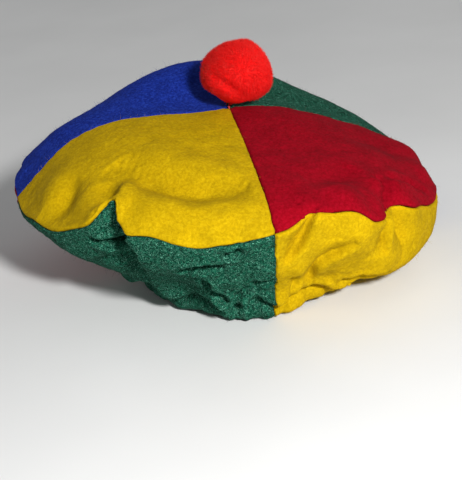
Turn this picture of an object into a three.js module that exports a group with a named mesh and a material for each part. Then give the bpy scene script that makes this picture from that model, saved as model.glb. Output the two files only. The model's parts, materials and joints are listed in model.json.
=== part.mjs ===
// A floppy eight-panel felt beret with a gathered elastic hem and a pompom, in millimetres.
// The hem stands on z = 0 with the middle of the head opening at the origin.
// The front faces -Y and the wearer's left is +X.
// A bearing is an angle round the hat in radians: 0 at the front, a quarter turn at +X.
import * as THREE from "three";
import { mergeVertices } from "three/addons/utils/BufferGeometryUtils.js";

// ---- driving dimensions ----
const FELT = 2.0; // thickness of every felt panel
const SEAM_GAP = 1.4; // between two neighbouring panels, where their seam thread lies
const THREAD_DIAMETER = 0.8;
const RING_THREAD_GAP = 0.03; // radians from the back seam to each end of a thread that runs round

// rim: the seam between the crown and the underside, a lopsided ring
const RIM_RADIUS = 145.5;
const RIM_CENTRE_Y = 7.5; // the rim lies further back than the hem
const RIM_RADIUS_FRONT = -4.8; // added at the front and taken away at the back
const RIM_RADIUS_SIDE = -8.1; // added at +X and taken away at -X
const RIM_HEIGHT = 60.0;
const RIM_HEIGHT_FRONT = 9.4;
const RIM_HEIGHT_SIDE = -18.5; // the +X side droops and the -X side stands up
const RIM_HEIGHT_OVAL = 4.8; // added at front and back, taken away at both sides

// crown: rises from the rim to the crossing of its four seams
const CROSSING = new THREE.Vector3(0, 16.8, 106.3);
const CROWN_FULLNESS = 2.9; // how long the crown stays high before it drops to the rim
const CROWN_FULLNESS_FRONT = 0.93;
const BACK_PUFF = 28.5; // the back of the crown billows up behind the crossing
const FRONT_SAG = 5.9;
const SIDE_SAG = 8.2;
const SWELL_EXPONENT = 1.2; // where between crossing and rim the billows are highest
const CROWN_HOLE_RADIUS = 3.0; // where the four points meet round the pompom's thread
const CROWN_THREAD_START = 7.5; // from the crossing
const CROWN_THREAD_END = 4.0; // short of the rim

// hem: an oval casing folded from the lower edge of the underside panels
const HEM_HALF_WIDTH = 76.7;
const HEM_HALF_DEPTH = 98.7;
const UNDERSIDE_BULGE = 4.5;
const UNDERSIDE_SIDE_BULGE = 12.0; // more at both sides, where the slack hangs
const CHANNEL_WIDTH = 4.9; // inside the casing, room for two layers of elastic and their stitch
const CHANNEL_HEIGHT = 10.2;
const CASING_TOP = 14.5; // height of the line of stitching that closes the casing
const CASING_CHAMFER = 1.6;
const CASING_BEND = 1.0; // how much higher the inner face of the felt bends into the casing
const CHANNEL_CHAMFER = 0.4;
const CHANNEL_CLOSING = 1.6; // height over which the channel narrows to its line of stitching
const TURNED_EDGE_TOP = 15.5; // the raw edge of the felt, inside the hat
const UNDERSIDE_THREAD_START = 0.05; // parts of the way from the rim to the casing
const UNDERSIDE_THREAD_END = 0.97;
const WALL_THREAD_HEIGHTS = [0.75, 0.5, 0.25]; // parts of the casing's height, down its wall

// elastic
const ELASTIC_THICKNESS = 1.0;
const ELASTIC_WIDTH = 8.0;
const ELASTIC_OVERLAP = 0.16; // radians by which its two ends lie side by side
const ELASTIC_JOIN_BEARING = 0.9 * Math.PI;
const LAYER_GAP = 0.4;
const CLEARANCE = 0.3;
const JOIN_THREAD = 0.5;
const ELASTIC_PLAY = 0.75; // between the felt and the stitch round the elastic's ends
const ELASTIC_FLOOR = FELT + ELASTIC_PLAY + JOIN_THREAD; // its lower edge, and its outer face's inset

// pompom: leans a little to +X on its thread
const POMPOM_RADIUS = 25.5;
const POMPOM_CENTRE_HEIGHT = 25.0; // along its own axis, from the crossing
const POMPOM_LEAN = THREE.MathUtils.degToRad(16.5);
const POMPOM_UNDERSIDE = THREE.MathUtils.degToRad(27); // slope of its hollowed underside
const POMPOM_LOWEST_LATITUDE = -1.25; // in radians, where the ball's own arc starts
const POMPOM_BORE_RADIUS = 2.4;
const BORE_MOUTH = 1.0; // height over which the bore opens at the hollowed underside
const CORE_RADIUS = 6.0; // hollow in the middle of the yarn, where it is tied
const CORE_HALF_HEIGHT = 3.0;
const CORE_FUNNEL = 2.0; // height over which the bore widens to that hollow
const TIE_RADIUS = 4.2; // the thread wound round the middle of the yarn
const TIE_HALF_HEIGHT = 1.5;
const TIE_FUNNEL = 1.0;
const STEM_FOOT = 1.2; // lowest point of the tie's stem, from the crossing
const SHANK_TOP = 0.6;
const SHANK_POINT = 0.2; // height of the shank's pointed ends
const KNOT_RADIUS = 2.2;

// mesh density
const PANEL_BEARING_STEPS = 12;
const CROWN_STEPS = 13;
const UNDERSIDE_STEPS = 9;
const THREAD_SIDES = 6;
const RING_STEPS = 64;
const BALL_STEPS = 12;
const BALL_SEGMENTS = 24;
const SMALL_LATHE_SEGMENTS = 12;
const KNOT_STEPS = 6;

const QUARTER = Math.PI / 2;
const SMALL = 1e-4; // step for numerical slopes, and the distance at which points are one

// the parts of a whole, from 0 to 1
function steps(count) {
  return Array.from({ length: count + 1 }, (_, k) => k / count);
}

const COLOURS = {
  yellow: 0xd9b011,
  crimson: 0xa50d22,
  blue: 0x1e3596,
  green: 0x155943,
  scarlet: 0xe8241f,
  white: 0xe9e6dc,
};

// ---- the hat's surface ----
function outward(bearing) {
  return new THREE.Vector3(Math.sin(bearing), -Math.cos(bearing), 0);
}

function rimPoint(bearing) {
  const front = Math.cos(bearing);
  const side = Math.sin(bearing);
  const radius = RIM_RADIUS + RIM_RADIUS_FRONT * front + RIM_RADIUS_SIDE * side;
  const point = outward(bearing).multiplyScalar(radius);
  point.y += RIM_CENTRE_Y;
  point.z = RIM_HEIGHT + RIM_HEIGHT_FRONT * front + RIM_HEIGHT_SIDE * side
    + RIM_HEIGHT_OVAL * Math.cos(2 * bearing);
  return point;
}

// reach is 0 at the crossing and 1 at the rim
function crownPoint(bearing, reach) {
  const rim = rimPoint(bearing);
  const front = Math.cos(bearing);
  const swell = Math.sin(Math.PI * reach ** SWELL_EXPONENT) ** 2;
  const billow = BACK_PUFF * Math.max(-front, 0) ** 2 - FRONT_SAG * Math.max(front, 0) ** 2
    - SIDE_SAG * Math.sin(bearing);
  const drop = (CROSSING.z - rim.z) * reach ** (CROWN_FULLNESS + CROWN_FULLNESS_FRONT * front);
  const point = CROSSING.clone().lerp(rim, reach);
  point.z = CROSSING.z - drop + swell * billow;
  return point;
}

// a point of the hem oval, moved inward by inset, at a height
function hemPoint(bearing, inset, height) {
  const inward = new THREE.Vector3(
    -Math.sin(bearing) / HEM_HALF_WIDTH, Math.cos(bearing) / HEM_HALF_DEPTH, 0,
  ).normalize();
  return new THREE.Vector3(
    HEM_HALF_WIDTH * Math.sin(bearing), -HEM_HALF_DEPTH * Math.cos(bearing), height,
  ).addScaledVector(inward, inset);
}

// fall is 0 at the rim and 1 at the top of the hem casing
function undersidePoint(bearing, fall) {
  const rim = rimPoint(bearing);
  const hem = hemPoint(bearing, 0, CASING_TOP);
  const round = new THREE.Vector3(Math.cos(bearing), Math.sin(bearing), 0);
  const bulgeWay = hem.clone().sub(rim).cross(round).normalize();
  const most = UNDERSIDE_BULGE + UNDERSIDE_SIDE_BULGE * Math.sin(bearing) ** 2;
  return rim.lerp(hem, fall).addScaledVector(bulgeWay, most * Math.sin(Math.PI * fall));
}

// How a surface runs at a point: across, for each radian of the bearing, and down, of unit length.
function slopesAt(surface, bearing, along) {
  const low = Math.max(along - SMALL, 0);
  const high = Math.min(along + SMALL, 1);
  const across = surface(bearing + SMALL, along).sub(surface(bearing - SMALL, along));
  const down = surface(bearing, high).sub(surface(bearing, low)).normalize();
  return { across: across.divideScalar(2 * SMALL), down };
}

// unit normal out of the hat, of crownPoint or undersidePoint
function normalAt(surface, bearing, along) {
  const { across, down } = slopesAt(surface, bearing, along);
  return down.cross(across).normalize();
}

// how far the bearing of a panel's edge stays from its seam, for half a seam gap
function edgeInset(surface, bearing, along) {
  const { across, down } = slopesAt(surface, bearing, along);
  return SEAM_GAP / 2 / across.cross(down).length();
}

// the bearing at a part of the way across a panel, between its two edges
function panelBearing(surface, firstSeam, part, along) {
  const first = firstSeam + edgeInset(surface, firstSeam, along);
  const lastSeam = firstSeam + QUARTER;
  const last = lastSeam - edgeInset(surface, lastSeam, along);
  return first + (last - first) * part;
}

// mid-thickness of a sheet
function midPoint(surface, bearing, along) {
  return surface(bearing, along).addScaledVector(normalAt(surface, bearing, along), -FELT / 2);
}

// At the rim the two sheets meet at an angle and are cut back from the plane that halves it.
// Gives that plane's direction into the hat, and where each sheet's outer and inner edge ends.
function rimMitre(bearing) {
  const corner = rimPoint(bearing);
  const toCrown = crownPoint(bearing, 1 - SMALL).sub(corner).normalize();
  const toHem = undersidePoint(bearing, SMALL).sub(corner).normalize();
  const inward = toCrown.clone().add(toHem).normalize();
  const half = Math.acos(THREE.MathUtils.clamp(toCrown.dot(inward), -1, 1));
  const ends = [toCrown, toHem].map((way) => {
    const side = way.clone().addScaledVector(inward, -way.dot(inward)).normalize();
    const outer = corner.clone().addScaledVector(way, SEAM_GAP / 2 / Math.sin(half));
    const run = (SEAM_GAP / 2 + FELT * Math.cos(half)) / Math.sin(half);
    const inner = corner.clone()
      .addScaledVector(inward, FELT * Math.sin(half) + run * Math.cos(half))
      .addScaledVector(side, SEAM_GAP / 2);
    return { outer, inner };
  });
  const thread = corner.clone().addScaledVector(inward, FELT / 2 / Math.sin(half) + SEAM_GAP / 2);
  return { crown: ends[0], underside: ends[1], thread };
}

// ---- solids ----
// Closes a sheet between two grids of points: outer[i][j] and inner[i][j], i along the bearing.
function sheetSolid(outer, inner) {
  const rows = outer.length;
  const columns = outer[0].length;
  const index = [];
  const place = (layer, i, j) => (layer * rows + i) * columns + j;
  const quad = (a, b, c, d) => index.push(a, b, c, a, c, d);
  for (let i = 0; i < rows - 1; i += 1) {
    for (let j = 0; j < columns - 1; j += 1) {
      quad(place(0, i, j), place(0, i, j + 1), place(0, i + 1, j + 1), place(0, i + 1, j));
      quad(place(1, i, j), place(1, i + 1, j), place(1, i + 1, j + 1), place(1, i, j + 1));
    }
  }
  for (let j = 0; j < columns - 1; j += 1) {
    const last = rows - 1;
    quad(place(0, 0, j), place(1, 0, j), place(1, 0, j + 1), place(0, 0, j + 1));
    quad(place(0, last, j), place(0, last, j + 1), place(1, last, j + 1), place(1, last, j));
  }
  for (let i = 0; i < rows - 1; i += 1) {
    const last = columns - 1;
    quad(place(0, i, 0), place(0, i + 1, 0), place(1, i + 1, 0), place(1, i, 0));
    quad(place(0, i, last), place(1, i, last), place(1, i + 1, last), place(0, i + 1, last));
  }
  const points = [...outer.flat(), ...inner.flat()];
  const geometry = new THREE.BufferGeometry().setFromPoints(points);
  geometry.setIndex(index);
  return geometry;
}

// a thread along open points
function threadSolid(points) {
  const section = new THREE.Shape();
  section.absarc(0, 0, THREAD_DIAMETER / 2, 0, 2 * Math.PI);
  return new THREE.ExtrudeGeometry(section, {
    curveSegments: THREAD_SIDES / 2, // a full arc takes two for each
    steps: points.length - 1,
    extrudePath: new THREE.CatmullRomCurve3(points, false, "centripetal"),
  });
}

// a thread round the whole hat, its two ends a hair apart at the back seam
function ringThreadSolid(pointAt) {
  const start = Math.PI + RING_THREAD_GAP;
  const turn = 2 * (Math.PI - RING_THREAD_GAP);
  return threadSolid(steps(RING_STEPS).map((part) => pointAt(start + turn * part)));
}

// Felt of one crown panel, between the seams at two bearings.
function crownPanel(firstSeam) {
  const outer = [];
  const inner = [];
  const start = CROWN_HOLE_RADIUS / RIM_RADIUS;
  for (const part of steps(PANEL_BEARING_STEPS)) {
    const outerRow = [];
    const innerRow = [];
    for (const along of steps(CROWN_STEPS)) {
      const reach = start + (1 - start) * along;
      const bearing = panelBearing(crownPoint, firstSeam, part, reach);
      if (along < 1) {
        const point = crownPoint(bearing, reach);
        const normal = normalAt(crownPoint, bearing, reach);
        outerRow.push(point);
        innerRow.push(point.clone().addScaledVector(normal, -FELT));
      } else {
        const edge = rimMitre(bearing).crown;
        outerRow.push(edge.outer);
        innerRow.push(edge.inner);
      }
    }
    outer.push(outerRow);
    inner.push(innerRow);
  }
  return sheetSolid(outer, inner);
}

// The casing's section: the outside of the folded felt and, beside it, the face in the channel.
// Each entry is [inset from the hem oval, height].
function casingSection() {
  const channelIn = FELT + CHANNEL_WIDTH;
  const wallIn = channelIn + FELT;
  const channelTop = FELT + CHANNEL_HEIGHT;
  const nip = FELT + SEAM_GAP; // the walls close to the width of the stitch above the elastic
  return [
    { outside: [0, CASING_CHAMFER], channel: [FELT, FELT + CHANNEL_CHAMFER] },
    { outside: [CASING_CHAMFER, 0], channel: [FELT + CHANNEL_CHAMFER, FELT] },
    { outside: [wallIn - CASING_CHAMFER, 0], channel: [channelIn - CHANNEL_CHAMFER, FELT] },
    { outside: [wallIn, CASING_CHAMFER], channel: [channelIn, FELT + CHANNEL_CHAMFER] },
    { outside: [wallIn, channelTop], channel: [channelIn, channelTop] },
    { outside: [nip + FELT, channelTop + FELT], channel: [nip, channelTop + CHANNEL_CLOSING] },
    { outside: [nip + FELT, TURNED_EDGE_TOP], channel: [nip, TURNED_EDGE_TOP] },
  ];
}

// Felt of one underside panel: from the rim down to the hem, and folded inward as the casing.
function undersidePanel(firstSeam) {
  const outer = [];
  const inner = [];
  for (const part of steps(PANEL_BEARING_STEPS)) {
    const outerRow = [];
    const innerRow = [];
    for (const fall of steps(UNDERSIDE_STEPS)) {
      const bearing = panelBearing(undersidePoint, firstSeam, part, fall);
      if (fall === 0) {
        const edge = rimMitre(bearing).underside;
        outerRow.push(edge.outer);
        innerRow.push(edge.inner);
      } else if (fall < 1) {
        const point = undersidePoint(bearing, fall);
        const normal = normalAt(undersidePoint, bearing, fall);
        outerRow.push(point);
        innerRow.push(point.clone().addScaledVector(normal, -FELT));
      } else {
        outerRow.push(hemPoint(bearing, 0, CASING_TOP));
        innerRow.push(hemPoint(bearing, FELT, CASING_TOP + CASING_BEND));
      }
    }
    const hemBearing = panelBearing(undersidePoint, firstSeam, part, 1);
    for (const { outside, channel } of casingSection()) {
      outerRow.push(hemPoint(hemBearing, ...outside));
      innerRow.push(hemPoint(hemBearing, ...channel));
    }
    outer.push(outerRow);
    inner.push(innerRow);
  }
  return sheetSolid(outer, inner);
}

// points down the middle of a seam, from one part of the way to another
function seamPoints(surface, seam, first, last, count) {
  return steps(count).map((k) => midPoint(surface, seam, first + (last - first) * k));
}

function crownSeamThread(seam) {
  const first = CROWN_THREAD_START / RIM_RADIUS;
  const last = 1 - CROWN_THREAD_END / RIM_RADIUS;
  return threadSolid(seamPoints(crownPoint, seam, first, last, CROWN_STEPS));
}

function undersideSeamThread(seam) {
  const slope = seamPoints(
    undersidePoint, seam, UNDERSIDE_THREAD_START, UNDERSIDE_THREAD_END, UNDERSIDE_STEPS,
  );
  const wall = WALL_THREAD_HEIGHTS.map((k) => hemPoint(seam, FELT / 2, CASING_TOP * k));
  return threadSolid([...slope, ...wall]);
}

// A flat elastic that runs once round inside the casing and a little further, so that its ends lap.
function elasticInset(turn) {
  const first = ELASTIC_FLOOR + ELASTIC_THICKNESS / 2;
  return first + (ELASTIC_THICKNESS + LAYER_GAP) * turn / (2 * Math.PI);
}

function elasticBand() {
  const outer = [];
  const inner = [];
  const half = ELASTIC_THICKNESS / 2;
  for (const part of steps(RING_STEPS)) {
    const turn = part * (2 * Math.PI + ELASTIC_OVERLAP);
    const bearing = ELASTIC_JOIN_BEARING + turn;
    const heights = [ELASTIC_FLOOR + ELASTIC_WIDTH, ELASTIC_FLOOR];
    outer.push(heights.map((z) => hemPoint(bearing, elasticInset(turn) - half, z)));
    inner.push(heights.map((z) => hemPoint(bearing, elasticInset(turn) + half, z)));
  }
  return sheetSolid(outer, inner);
}

// a loop of thread round the two lapped ends of the elastic
function elasticJoinStitch() {
  const turn = ELASTIC_OVERLAP / 2;
  const half = ELASTIC_THICKNESS / 2 + CLEARANCE;
  const near = elasticInset(turn) - half;
  const far = elasticInset(2 * Math.PI + turn) + half;
  const low = ELASTIC_FLOOR - CLEARANCE;
  const high = ELASTIC_FLOOR + ELASTIC_WIDTH + CLEARANCE;
  const frame = new THREE.Shape();
  frame.moveTo(near - JOIN_THREAD, low - JOIN_THREAD);
  frame.lineTo(far + JOIN_THREAD, low - JOIN_THREAD);
  frame.lineTo(far + JOIN_THREAD, high + JOIN_THREAD);
  frame.lineTo(near - JOIN_THREAD, high + JOIN_THREAD);
  frame.closePath();
  const hole = new THREE.Path();
  hole.moveTo(near, low);
  hole.lineTo(near, high);
  hole.lineTo(far, high);
  hole.lineTo(far, low);
  hole.closePath();
  frame.holes.push(hole);
  return new THREE.ExtrudeGeometry(frame, { depth: JOIN_THREAD, bevelEnabled: false });
}

// Places a solid drawn in (inset, height) at a bearing of the hem.
function hemFrame(bearing) {
  const origin = hemPoint(bearing, 0, 0);
  const inward = hemPoint(bearing, 1, 0).sub(origin);
  const up = new THREE.Vector3(0, 0, 1);
  const basis = new THREE.Matrix4().makeBasis(inward, up, inward.clone().cross(up));
  return basis.setPosition(origin);
}

// ---- the pompom, drawn about its own upright axis with the crossing at the origin ----
// a lathe about +Z, from [radius, height] points
function uprightLathe(section, segments) {
  const points = section.map(([radius, height]) => new THREE.Vector2(radius, height));
  return new THREE.LatheGeometry(points, segments).rotateX(Math.PI / 2);
}

function pompomBall() {
  const slope = Math.tan(POMPOM_UNDERSIDE);
  const coreTop = POMPOM_CENTRE_HEIGHT + CORE_HALF_HEIGHT;
  const coreFoot = POMPOM_CENTRE_HEIGHT - CORE_HALF_HEIGHT;
  const section = [
    [0, coreTop],
    [CORE_RADIUS, coreTop],
    [CORE_RADIUS, coreFoot],
    [POMPOM_BORE_RADIUS, coreFoot - CORE_FUNNEL],
    [POMPOM_BORE_RADIUS, slope * POMPOM_BORE_RADIUS + BORE_MOUTH],
  ];
  for (const part of steps(BALL_STEPS)) {
    const latitude = POMPOM_LOWEST_LATITUDE + (QUARTER - POMPOM_LOWEST_LATITUDE) * part;
    const radius = part < 1 ? POMPOM_RADIUS * Math.cos(latitude) : 0;
    const height = POMPOM_CENTRE_HEIGHT + POMPOM_RADIUS * Math.sin(latitude);
    section.push([radius, Math.max(height, slope * radius)]);
  }
  return uprightLathe(section, BALL_SEGMENTS);
}

// the thread that ties the yarn at its middle, with its stem down the bore
function pompomTie() {
  const wire = THREAD_DIAMETER / 2;
  const low = POMPOM_CENTRE_HEIGHT - TIE_HALF_HEIGHT;
  const high = POMPOM_CENTRE_HEIGHT + TIE_HALF_HEIGHT;
  const section = [
    [0, STEM_FOOT],
    [2 * wire, STEM_FOOT + wire],
    [2 * wire, low - TIE_FUNNEL],
    [TIE_RADIUS, low],
    [TIE_RADIUS + wire, POMPOM_CENTRE_HEIGHT],
    [TIE_RADIUS, high],
    [0, high],
  ];
  return uprightLathe(section, SMALL_LATHE_SEGMENTS);
}

// the two strands of thread that pass up through the crown, as one short rod
function threadShank() {
  const section = [
    [0, -FELT - SHANK_POINT],
    [THREAD_DIAMETER, -FELT],
    [THREAD_DIAMETER, SHANK_TOP - SHANK_POINT],
    [0, SHANK_TOP],
  ];
  return uprightLathe(section, SMALL_LATHE_SEGMENTS);
}

function anchorKnot() {
  const centre = -FELT - 2 * CLEARANCE - KNOT_RADIUS;
  const section = steps(KNOT_STEPS).map((part) => {
    const latitude = Math.PI * (part - 0.5);
    const radius = part > 0 && part < 1 ? KNOT_RADIUS * Math.cos(latitude) : 0;
    return [radius, centre + KNOT_RADIUS * Math.sin(latitude)];
  });
  return uprightLathe(section, SMALL_LATHE_SEGMENTS);
}

// ---- assembly ----
const hat = new THREE.Group();

function addPiece(group, name, geometry, colour, roughness = 0.95) {
  const bare = geometry.clone();
  bare.deleteAttribute("uv");
  bare.deleteAttribute("normal");
  const solid = mergeVertices(bare, SMALL);
  solid.computeVertexNormals();
  const material = new THREE.MeshStandardMaterial({ color: COLOURS[colour], roughness, metalness: 0 });
  const mesh = new THREE.Mesh(solid, material);
  mesh.name = name;
  group.add(mesh);
  return mesh;
}

// quarters of the hat, each from its first seam's bearing
const QUARTERS = [
  { place: "front_left", seam: 0, crown: "crimson", underside: "yellow" },
  { place: "back_left", seam: QUARTER, crown: "green", underside: "blue" },
  { place: "back_right", seam: 2 * QUARTER, crown: "blue", underside: "crimson" },
  { place: "front_right", seam: 3 * QUARTER, crown: "yellow", underside: "green" },
];
const SEAMS = [
  { place: "front", bearing: 0 },
  { place: "left", bearing: QUARTER },
  { place: "back", bearing: 2 * QUARTER },
  { place: "right", bearing: 3 * QUARTER },
];

for (const { place, seam, crown, underside } of QUARTERS) {
  addPiece(hat, `crown_panel_${place}`, crownPanel(seam), crown);
  addPiece(hat, `underside_panel_${place}`, undersidePanel(seam), underside);
}
for (const { place, bearing } of SEAMS) {
  addPiece(hat, `crown_seam_thread_${place}`, crownSeamThread(bearing), "white");
  addPiece(hat, `underside_seam_thread_${place}`, undersideSeamThread(bearing), "white");
}
const rimThread = ringThreadSolid((bearing) => rimMitre(bearing).thread);
addPiece(hat, "rim_seam_thread", rimThread, "white");
const stitchInset = FELT + SEAM_GAP / 2;
const stitchHeight = FELT + CHANNEL_HEIGHT + FELT;
const casingThread = ringThreadSolid((bearing) => hemPoint(bearing, stitchInset, stitchHeight));
addPiece(hat, "hem_casing_stitch", casingThread, "white");
addPiece(hat, "hem_elastic", elasticBand(), "white", 0.7);
const joinStitch = addPiece(hat, "elastic_join_stitch", elasticJoinStitch(), "white");
joinStitch.applyMatrix4(hemFrame(ELASTIC_JOIN_BEARING + ELASTIC_OVERLAP / 2));

const pompomBase = new THREE.Group();
pompomBase.position.copy(CROSSING);
hat.add(pompomBase);
addPiece(pompomBase, "pompom_anchor_knot", anchorKnot(), "white");
addPiece(pompomBase, "pompom_thread_shank", threadShank(), "scarlet");
const pompom = new THREE.Group();
pompom.rotation.y = POMPOM_LEAN;
pompomBase.add(pompom);
addPiece(pompom, "pompom_tie_thread", pompomTie(), "scarlet");
addPiece(pompom, "pompom_ball", pompomBall(), "scarlet");

export default hat;
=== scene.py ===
"""A floppy felt beret with a gathered hem and a pompom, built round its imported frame, in metres."""

import json
import math

import bpy
import numpy as np
from mathutils import Matrix, Vector


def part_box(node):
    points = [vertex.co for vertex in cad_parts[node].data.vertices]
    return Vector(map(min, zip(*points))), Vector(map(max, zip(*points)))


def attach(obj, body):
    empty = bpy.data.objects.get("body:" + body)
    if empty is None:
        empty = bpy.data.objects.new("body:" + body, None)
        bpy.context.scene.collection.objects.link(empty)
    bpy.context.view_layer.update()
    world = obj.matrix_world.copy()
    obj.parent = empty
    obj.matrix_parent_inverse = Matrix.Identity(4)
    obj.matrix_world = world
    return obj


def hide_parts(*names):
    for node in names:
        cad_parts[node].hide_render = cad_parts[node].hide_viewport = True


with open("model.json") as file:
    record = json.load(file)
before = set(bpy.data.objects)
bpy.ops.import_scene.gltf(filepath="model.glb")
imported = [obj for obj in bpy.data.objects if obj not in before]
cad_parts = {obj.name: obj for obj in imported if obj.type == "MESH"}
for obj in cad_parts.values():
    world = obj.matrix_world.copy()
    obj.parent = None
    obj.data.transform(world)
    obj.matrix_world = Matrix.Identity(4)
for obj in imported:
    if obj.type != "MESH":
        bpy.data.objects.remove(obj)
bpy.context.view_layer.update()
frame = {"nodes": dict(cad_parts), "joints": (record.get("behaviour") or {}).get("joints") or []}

MM = 0.001
TURN = 2 * math.pi
QUARTER = TURN / 4

# ---- places, from the frame ----
JOINTS = {joint["name"]: joint for joint in frame["joints"]}
CROSSING = np.array(JOINTS["pompom_nod"]["pos_m"])
POMPOM_AXIS = np.array(JOINTS["pompom_twist"]["axis"])
POMPOM_AXIS /= np.linalg.norm(POMPOM_AXIS)
STITCH_LOW, STITCH_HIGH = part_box("hem_casing_stitch")
STITCH_INSET = 2.3 * MM  # from the outside of the hem to the outside of that stitch
HEM_HALF_WIDTH = (STITCH_HIGH.x - STITCH_LOW.x) / 2 + STITCH_INSET
HEM_HALF_DEPTH = (STITCH_HIGH.y - STITCH_LOW.y) / 2 + STITCH_INSET
STITCH_BELOW_TOP = 0.3 * MM  # from the top of the casing down to that stitch
CASING_TOP = (STITCH_LOW.z + STITCH_HIGH.z) / 2 + STITCH_BELOW_TOP
THREAD_RADIUS = 0.4 * MM
RIM_CENTRE_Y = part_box("crown_seam_thread_left")[0].y + THREAD_RADIUS

# ---- the hat's plain shape, as the frame has it ----
FELT = 1.9 * MM
FELT_AT_SEAM = 1.3 * MM
CROWN_FULLNESS = 2.9
CROWN_FULLNESS_FRONT = 0.93
BACK_PUFF = 28.5 * MM
FRONT_SAG = 5.9 * MM
SIDE_SAG = 8.2 * MM
SWELL_EXPONENT = 1.2
UNDERSIDE_BULGE = 4.5 * MM
UNDERSIDE_SIDE_BULGE = 12.0 * MM
UNDERSIDE_DROOP = 5.0 * MM  # more slack hangs at +X than at -X
HANG_AT = 0.91  # where, down the underside, its slack hangs out over the casing
HANG_WIDTH = 0.085
HANG_OUT = 13.0 * MM
HANG_DOWN = 9.0 * MM
HANG_UNEVEN = 0.35  # how much the scallops of the casing change it
RIM_OUTSIDE = 2.1 * MM  # from the rim's thread out to the corner of the felt
RIM_WAVE_ON_CROWN = 0.17  # part of the crown over which the waves of the rim die out
RIM_WAVE_BELOW = 0.4  # and the part of the underside


def stack(x, y, z):
    return np.stack(np.broadcast_arrays(x, y, z), axis=-1)


def unit(v):
    return v / np.maximum(np.linalg.norm(v, axis=-1, keepdims=True), 1e-12)


def harmonics(bearing):
    return np.stack([np.ones_like(bearing), np.cos(bearing), np.sin(bearing),
                     np.cos(2 * bearing), np.sin(2 * bearing)], axis=-1)


def rim_from_frame():
    """The rim's radius and height round the hat, as harmonics of the bearing, from its thread."""
    points = np.array([v.co for v in frame["nodes"]["rim_seam_thread"].data.vertices])
    x, y = points[:, 0], points[:, 1] - RIM_CENTRE_Y
    waves = harmonics(np.arctan2(x, -y))
    radius = np.linalg.lstsq(waves, np.hypot(x, y) + RIM_OUTSIDE, rcond=None)[0]
    height = np.linalg.lstsq(waves, points[:, 2], rcond=None)[0]
    return radius, height


RIM_RADIUS, RIM_HEIGHT = rim_from_frame()


def bump(bearing, centre, width):
    """1 at a bearing in degrees, falling off over a width in degrees."""
    away = (bearing - math.radians(centre) + math.pi) % TURN - math.pi
    return np.exp(-((away / math.radians(width)) ** 2))


# How the slack rim waves, each as (bearing and width in degrees, size in mm): up and down, then out and in.
RIM_WAVES = [
    (-80, 10, -9), (-94, 8, -5), (-62, 10, -9), (-42, 4, 17), (-19, 9, -9.5), (-6, 7, -4), (11, 5, 8),
    (21, 7, 9.5), (26, 4.5, -4), (39, 5, 7.5), (50, 5, 2.5), (60, 8, -1.5), (75, 10, 3), (100, 16, 2),
    (124, 13, -6), (150, 11, 7), (174, 12, -6), (-160, 10, 7.5), (-133, 12, -7), (-106, 11, 5.5),
]
RIM_PUSHES = [(-42, 3.6, -9), (31, 5, 3), (13, 6, -3), (78, 14, -3.5), (152, 11, -4), (-158, 10, -4)]


def plain_rim(bearing):
    radius = harmonics(bearing) @ RIM_RADIUS
    height = harmonics(bearing) @ RIM_HEIGHT
    return stack(radius * np.sin(bearing), RIM_CENTRE_Y - radius * np.cos(bearing), height)


def waves(bearing, places):
    """The sum of bumps, each given as (bearing and width in degrees, size in mm)."""
    return sum(size * MM * bump(bearing, centre, width) for centre, width, size in places)


def rim_wave(bearing):
    """How far the slack felt has moved the rim from its plain ring."""
    rise = waves(bearing, RIM_WAVES)
    push = waves(bearing, RIM_PUSHES)
    return stack(push * np.sin(bearing), -push * np.cos(bearing), rise)


def crown(bearing, reach):
    """reach is 0 at the crossing and 1 at the rim."""
    edge = plain_rim(bearing)
    front = np.cos(bearing)
    swell = np.sin(np.pi * reach**SWELL_EXPONENT) ** 2
    billow = (BACK_PUFF * np.clip(-front, 0, 1) ** 2 - FRONT_SAG * np.clip(front, 0, 1) ** 2
              - SIDE_SAG * np.sin(bearing))
    fullness = CROWN_FULLNESS + CROWN_FULLNESS_FRONT * front
    drop = (CROSSING[2] - edge[..., 2]) * reach**fullness
    point = CROSSING + (edge - CROSSING) * reach[..., None]
    point[..., 2] = CROSSING[2] - drop + swell * billow
    near_rim = np.exp(-(((1 - reach) / RIM_WAVE_ON_CROWN) ** 2)) * reach
    return point + rim_wave(bearing) * near_rim[..., None]


def hem_inward(bearing):
    return unit(stack(-np.sin(bearing) / HEM_HALF_WIDTH, np.cos(bearing) / HEM_HALF_DEPTH, 0 * bearing))


HEM_LIFTS = [(24, 13, 4), (-36, 12, 2), (120, 16, 3), (-110, 14, 3)]  # as RIM_WAVES


def hem(bearing, inset, height):
    """A point of the hem oval, moved inward by an inset."""
    lifted = height + waves(bearing, HEM_LIFTS)
    oval = stack(HEM_HALF_WIDTH * np.sin(bearing), -HEM_HALF_DEPTH * np.cos(bearing), lifted)
    return oval + hem_inward(bearing) * np.broadcast_to(inset, bearing.shape)[..., None]


GATHERS = 29
SCALLOPS = 14


def ruffle(bearing):
    """The wave of the gathers round the hem, about -1 to 1, uneven as hand-fed gathers are."""
    phase = GATHERS * bearing + 1.5 * np.sin(3 * bearing + 0.6) + 1.3 * np.sin(7 * bearing + 2.1)
    size = 0.68 + 0.32 * np.sin(5 * bearing + 1.1) * np.cos(2 * bearing)
    return size * (0.8 * np.cos(phase) + 0.2 * np.cos(2.31 * phase + 1))


def scallop(bearing):
    """The wider wave of the felt that hangs over the casing, about -1 to 1."""
    return np.cos(SCALLOPS * bearing + 2.4 + 0.9 * np.sin(2 * bearing))


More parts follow.
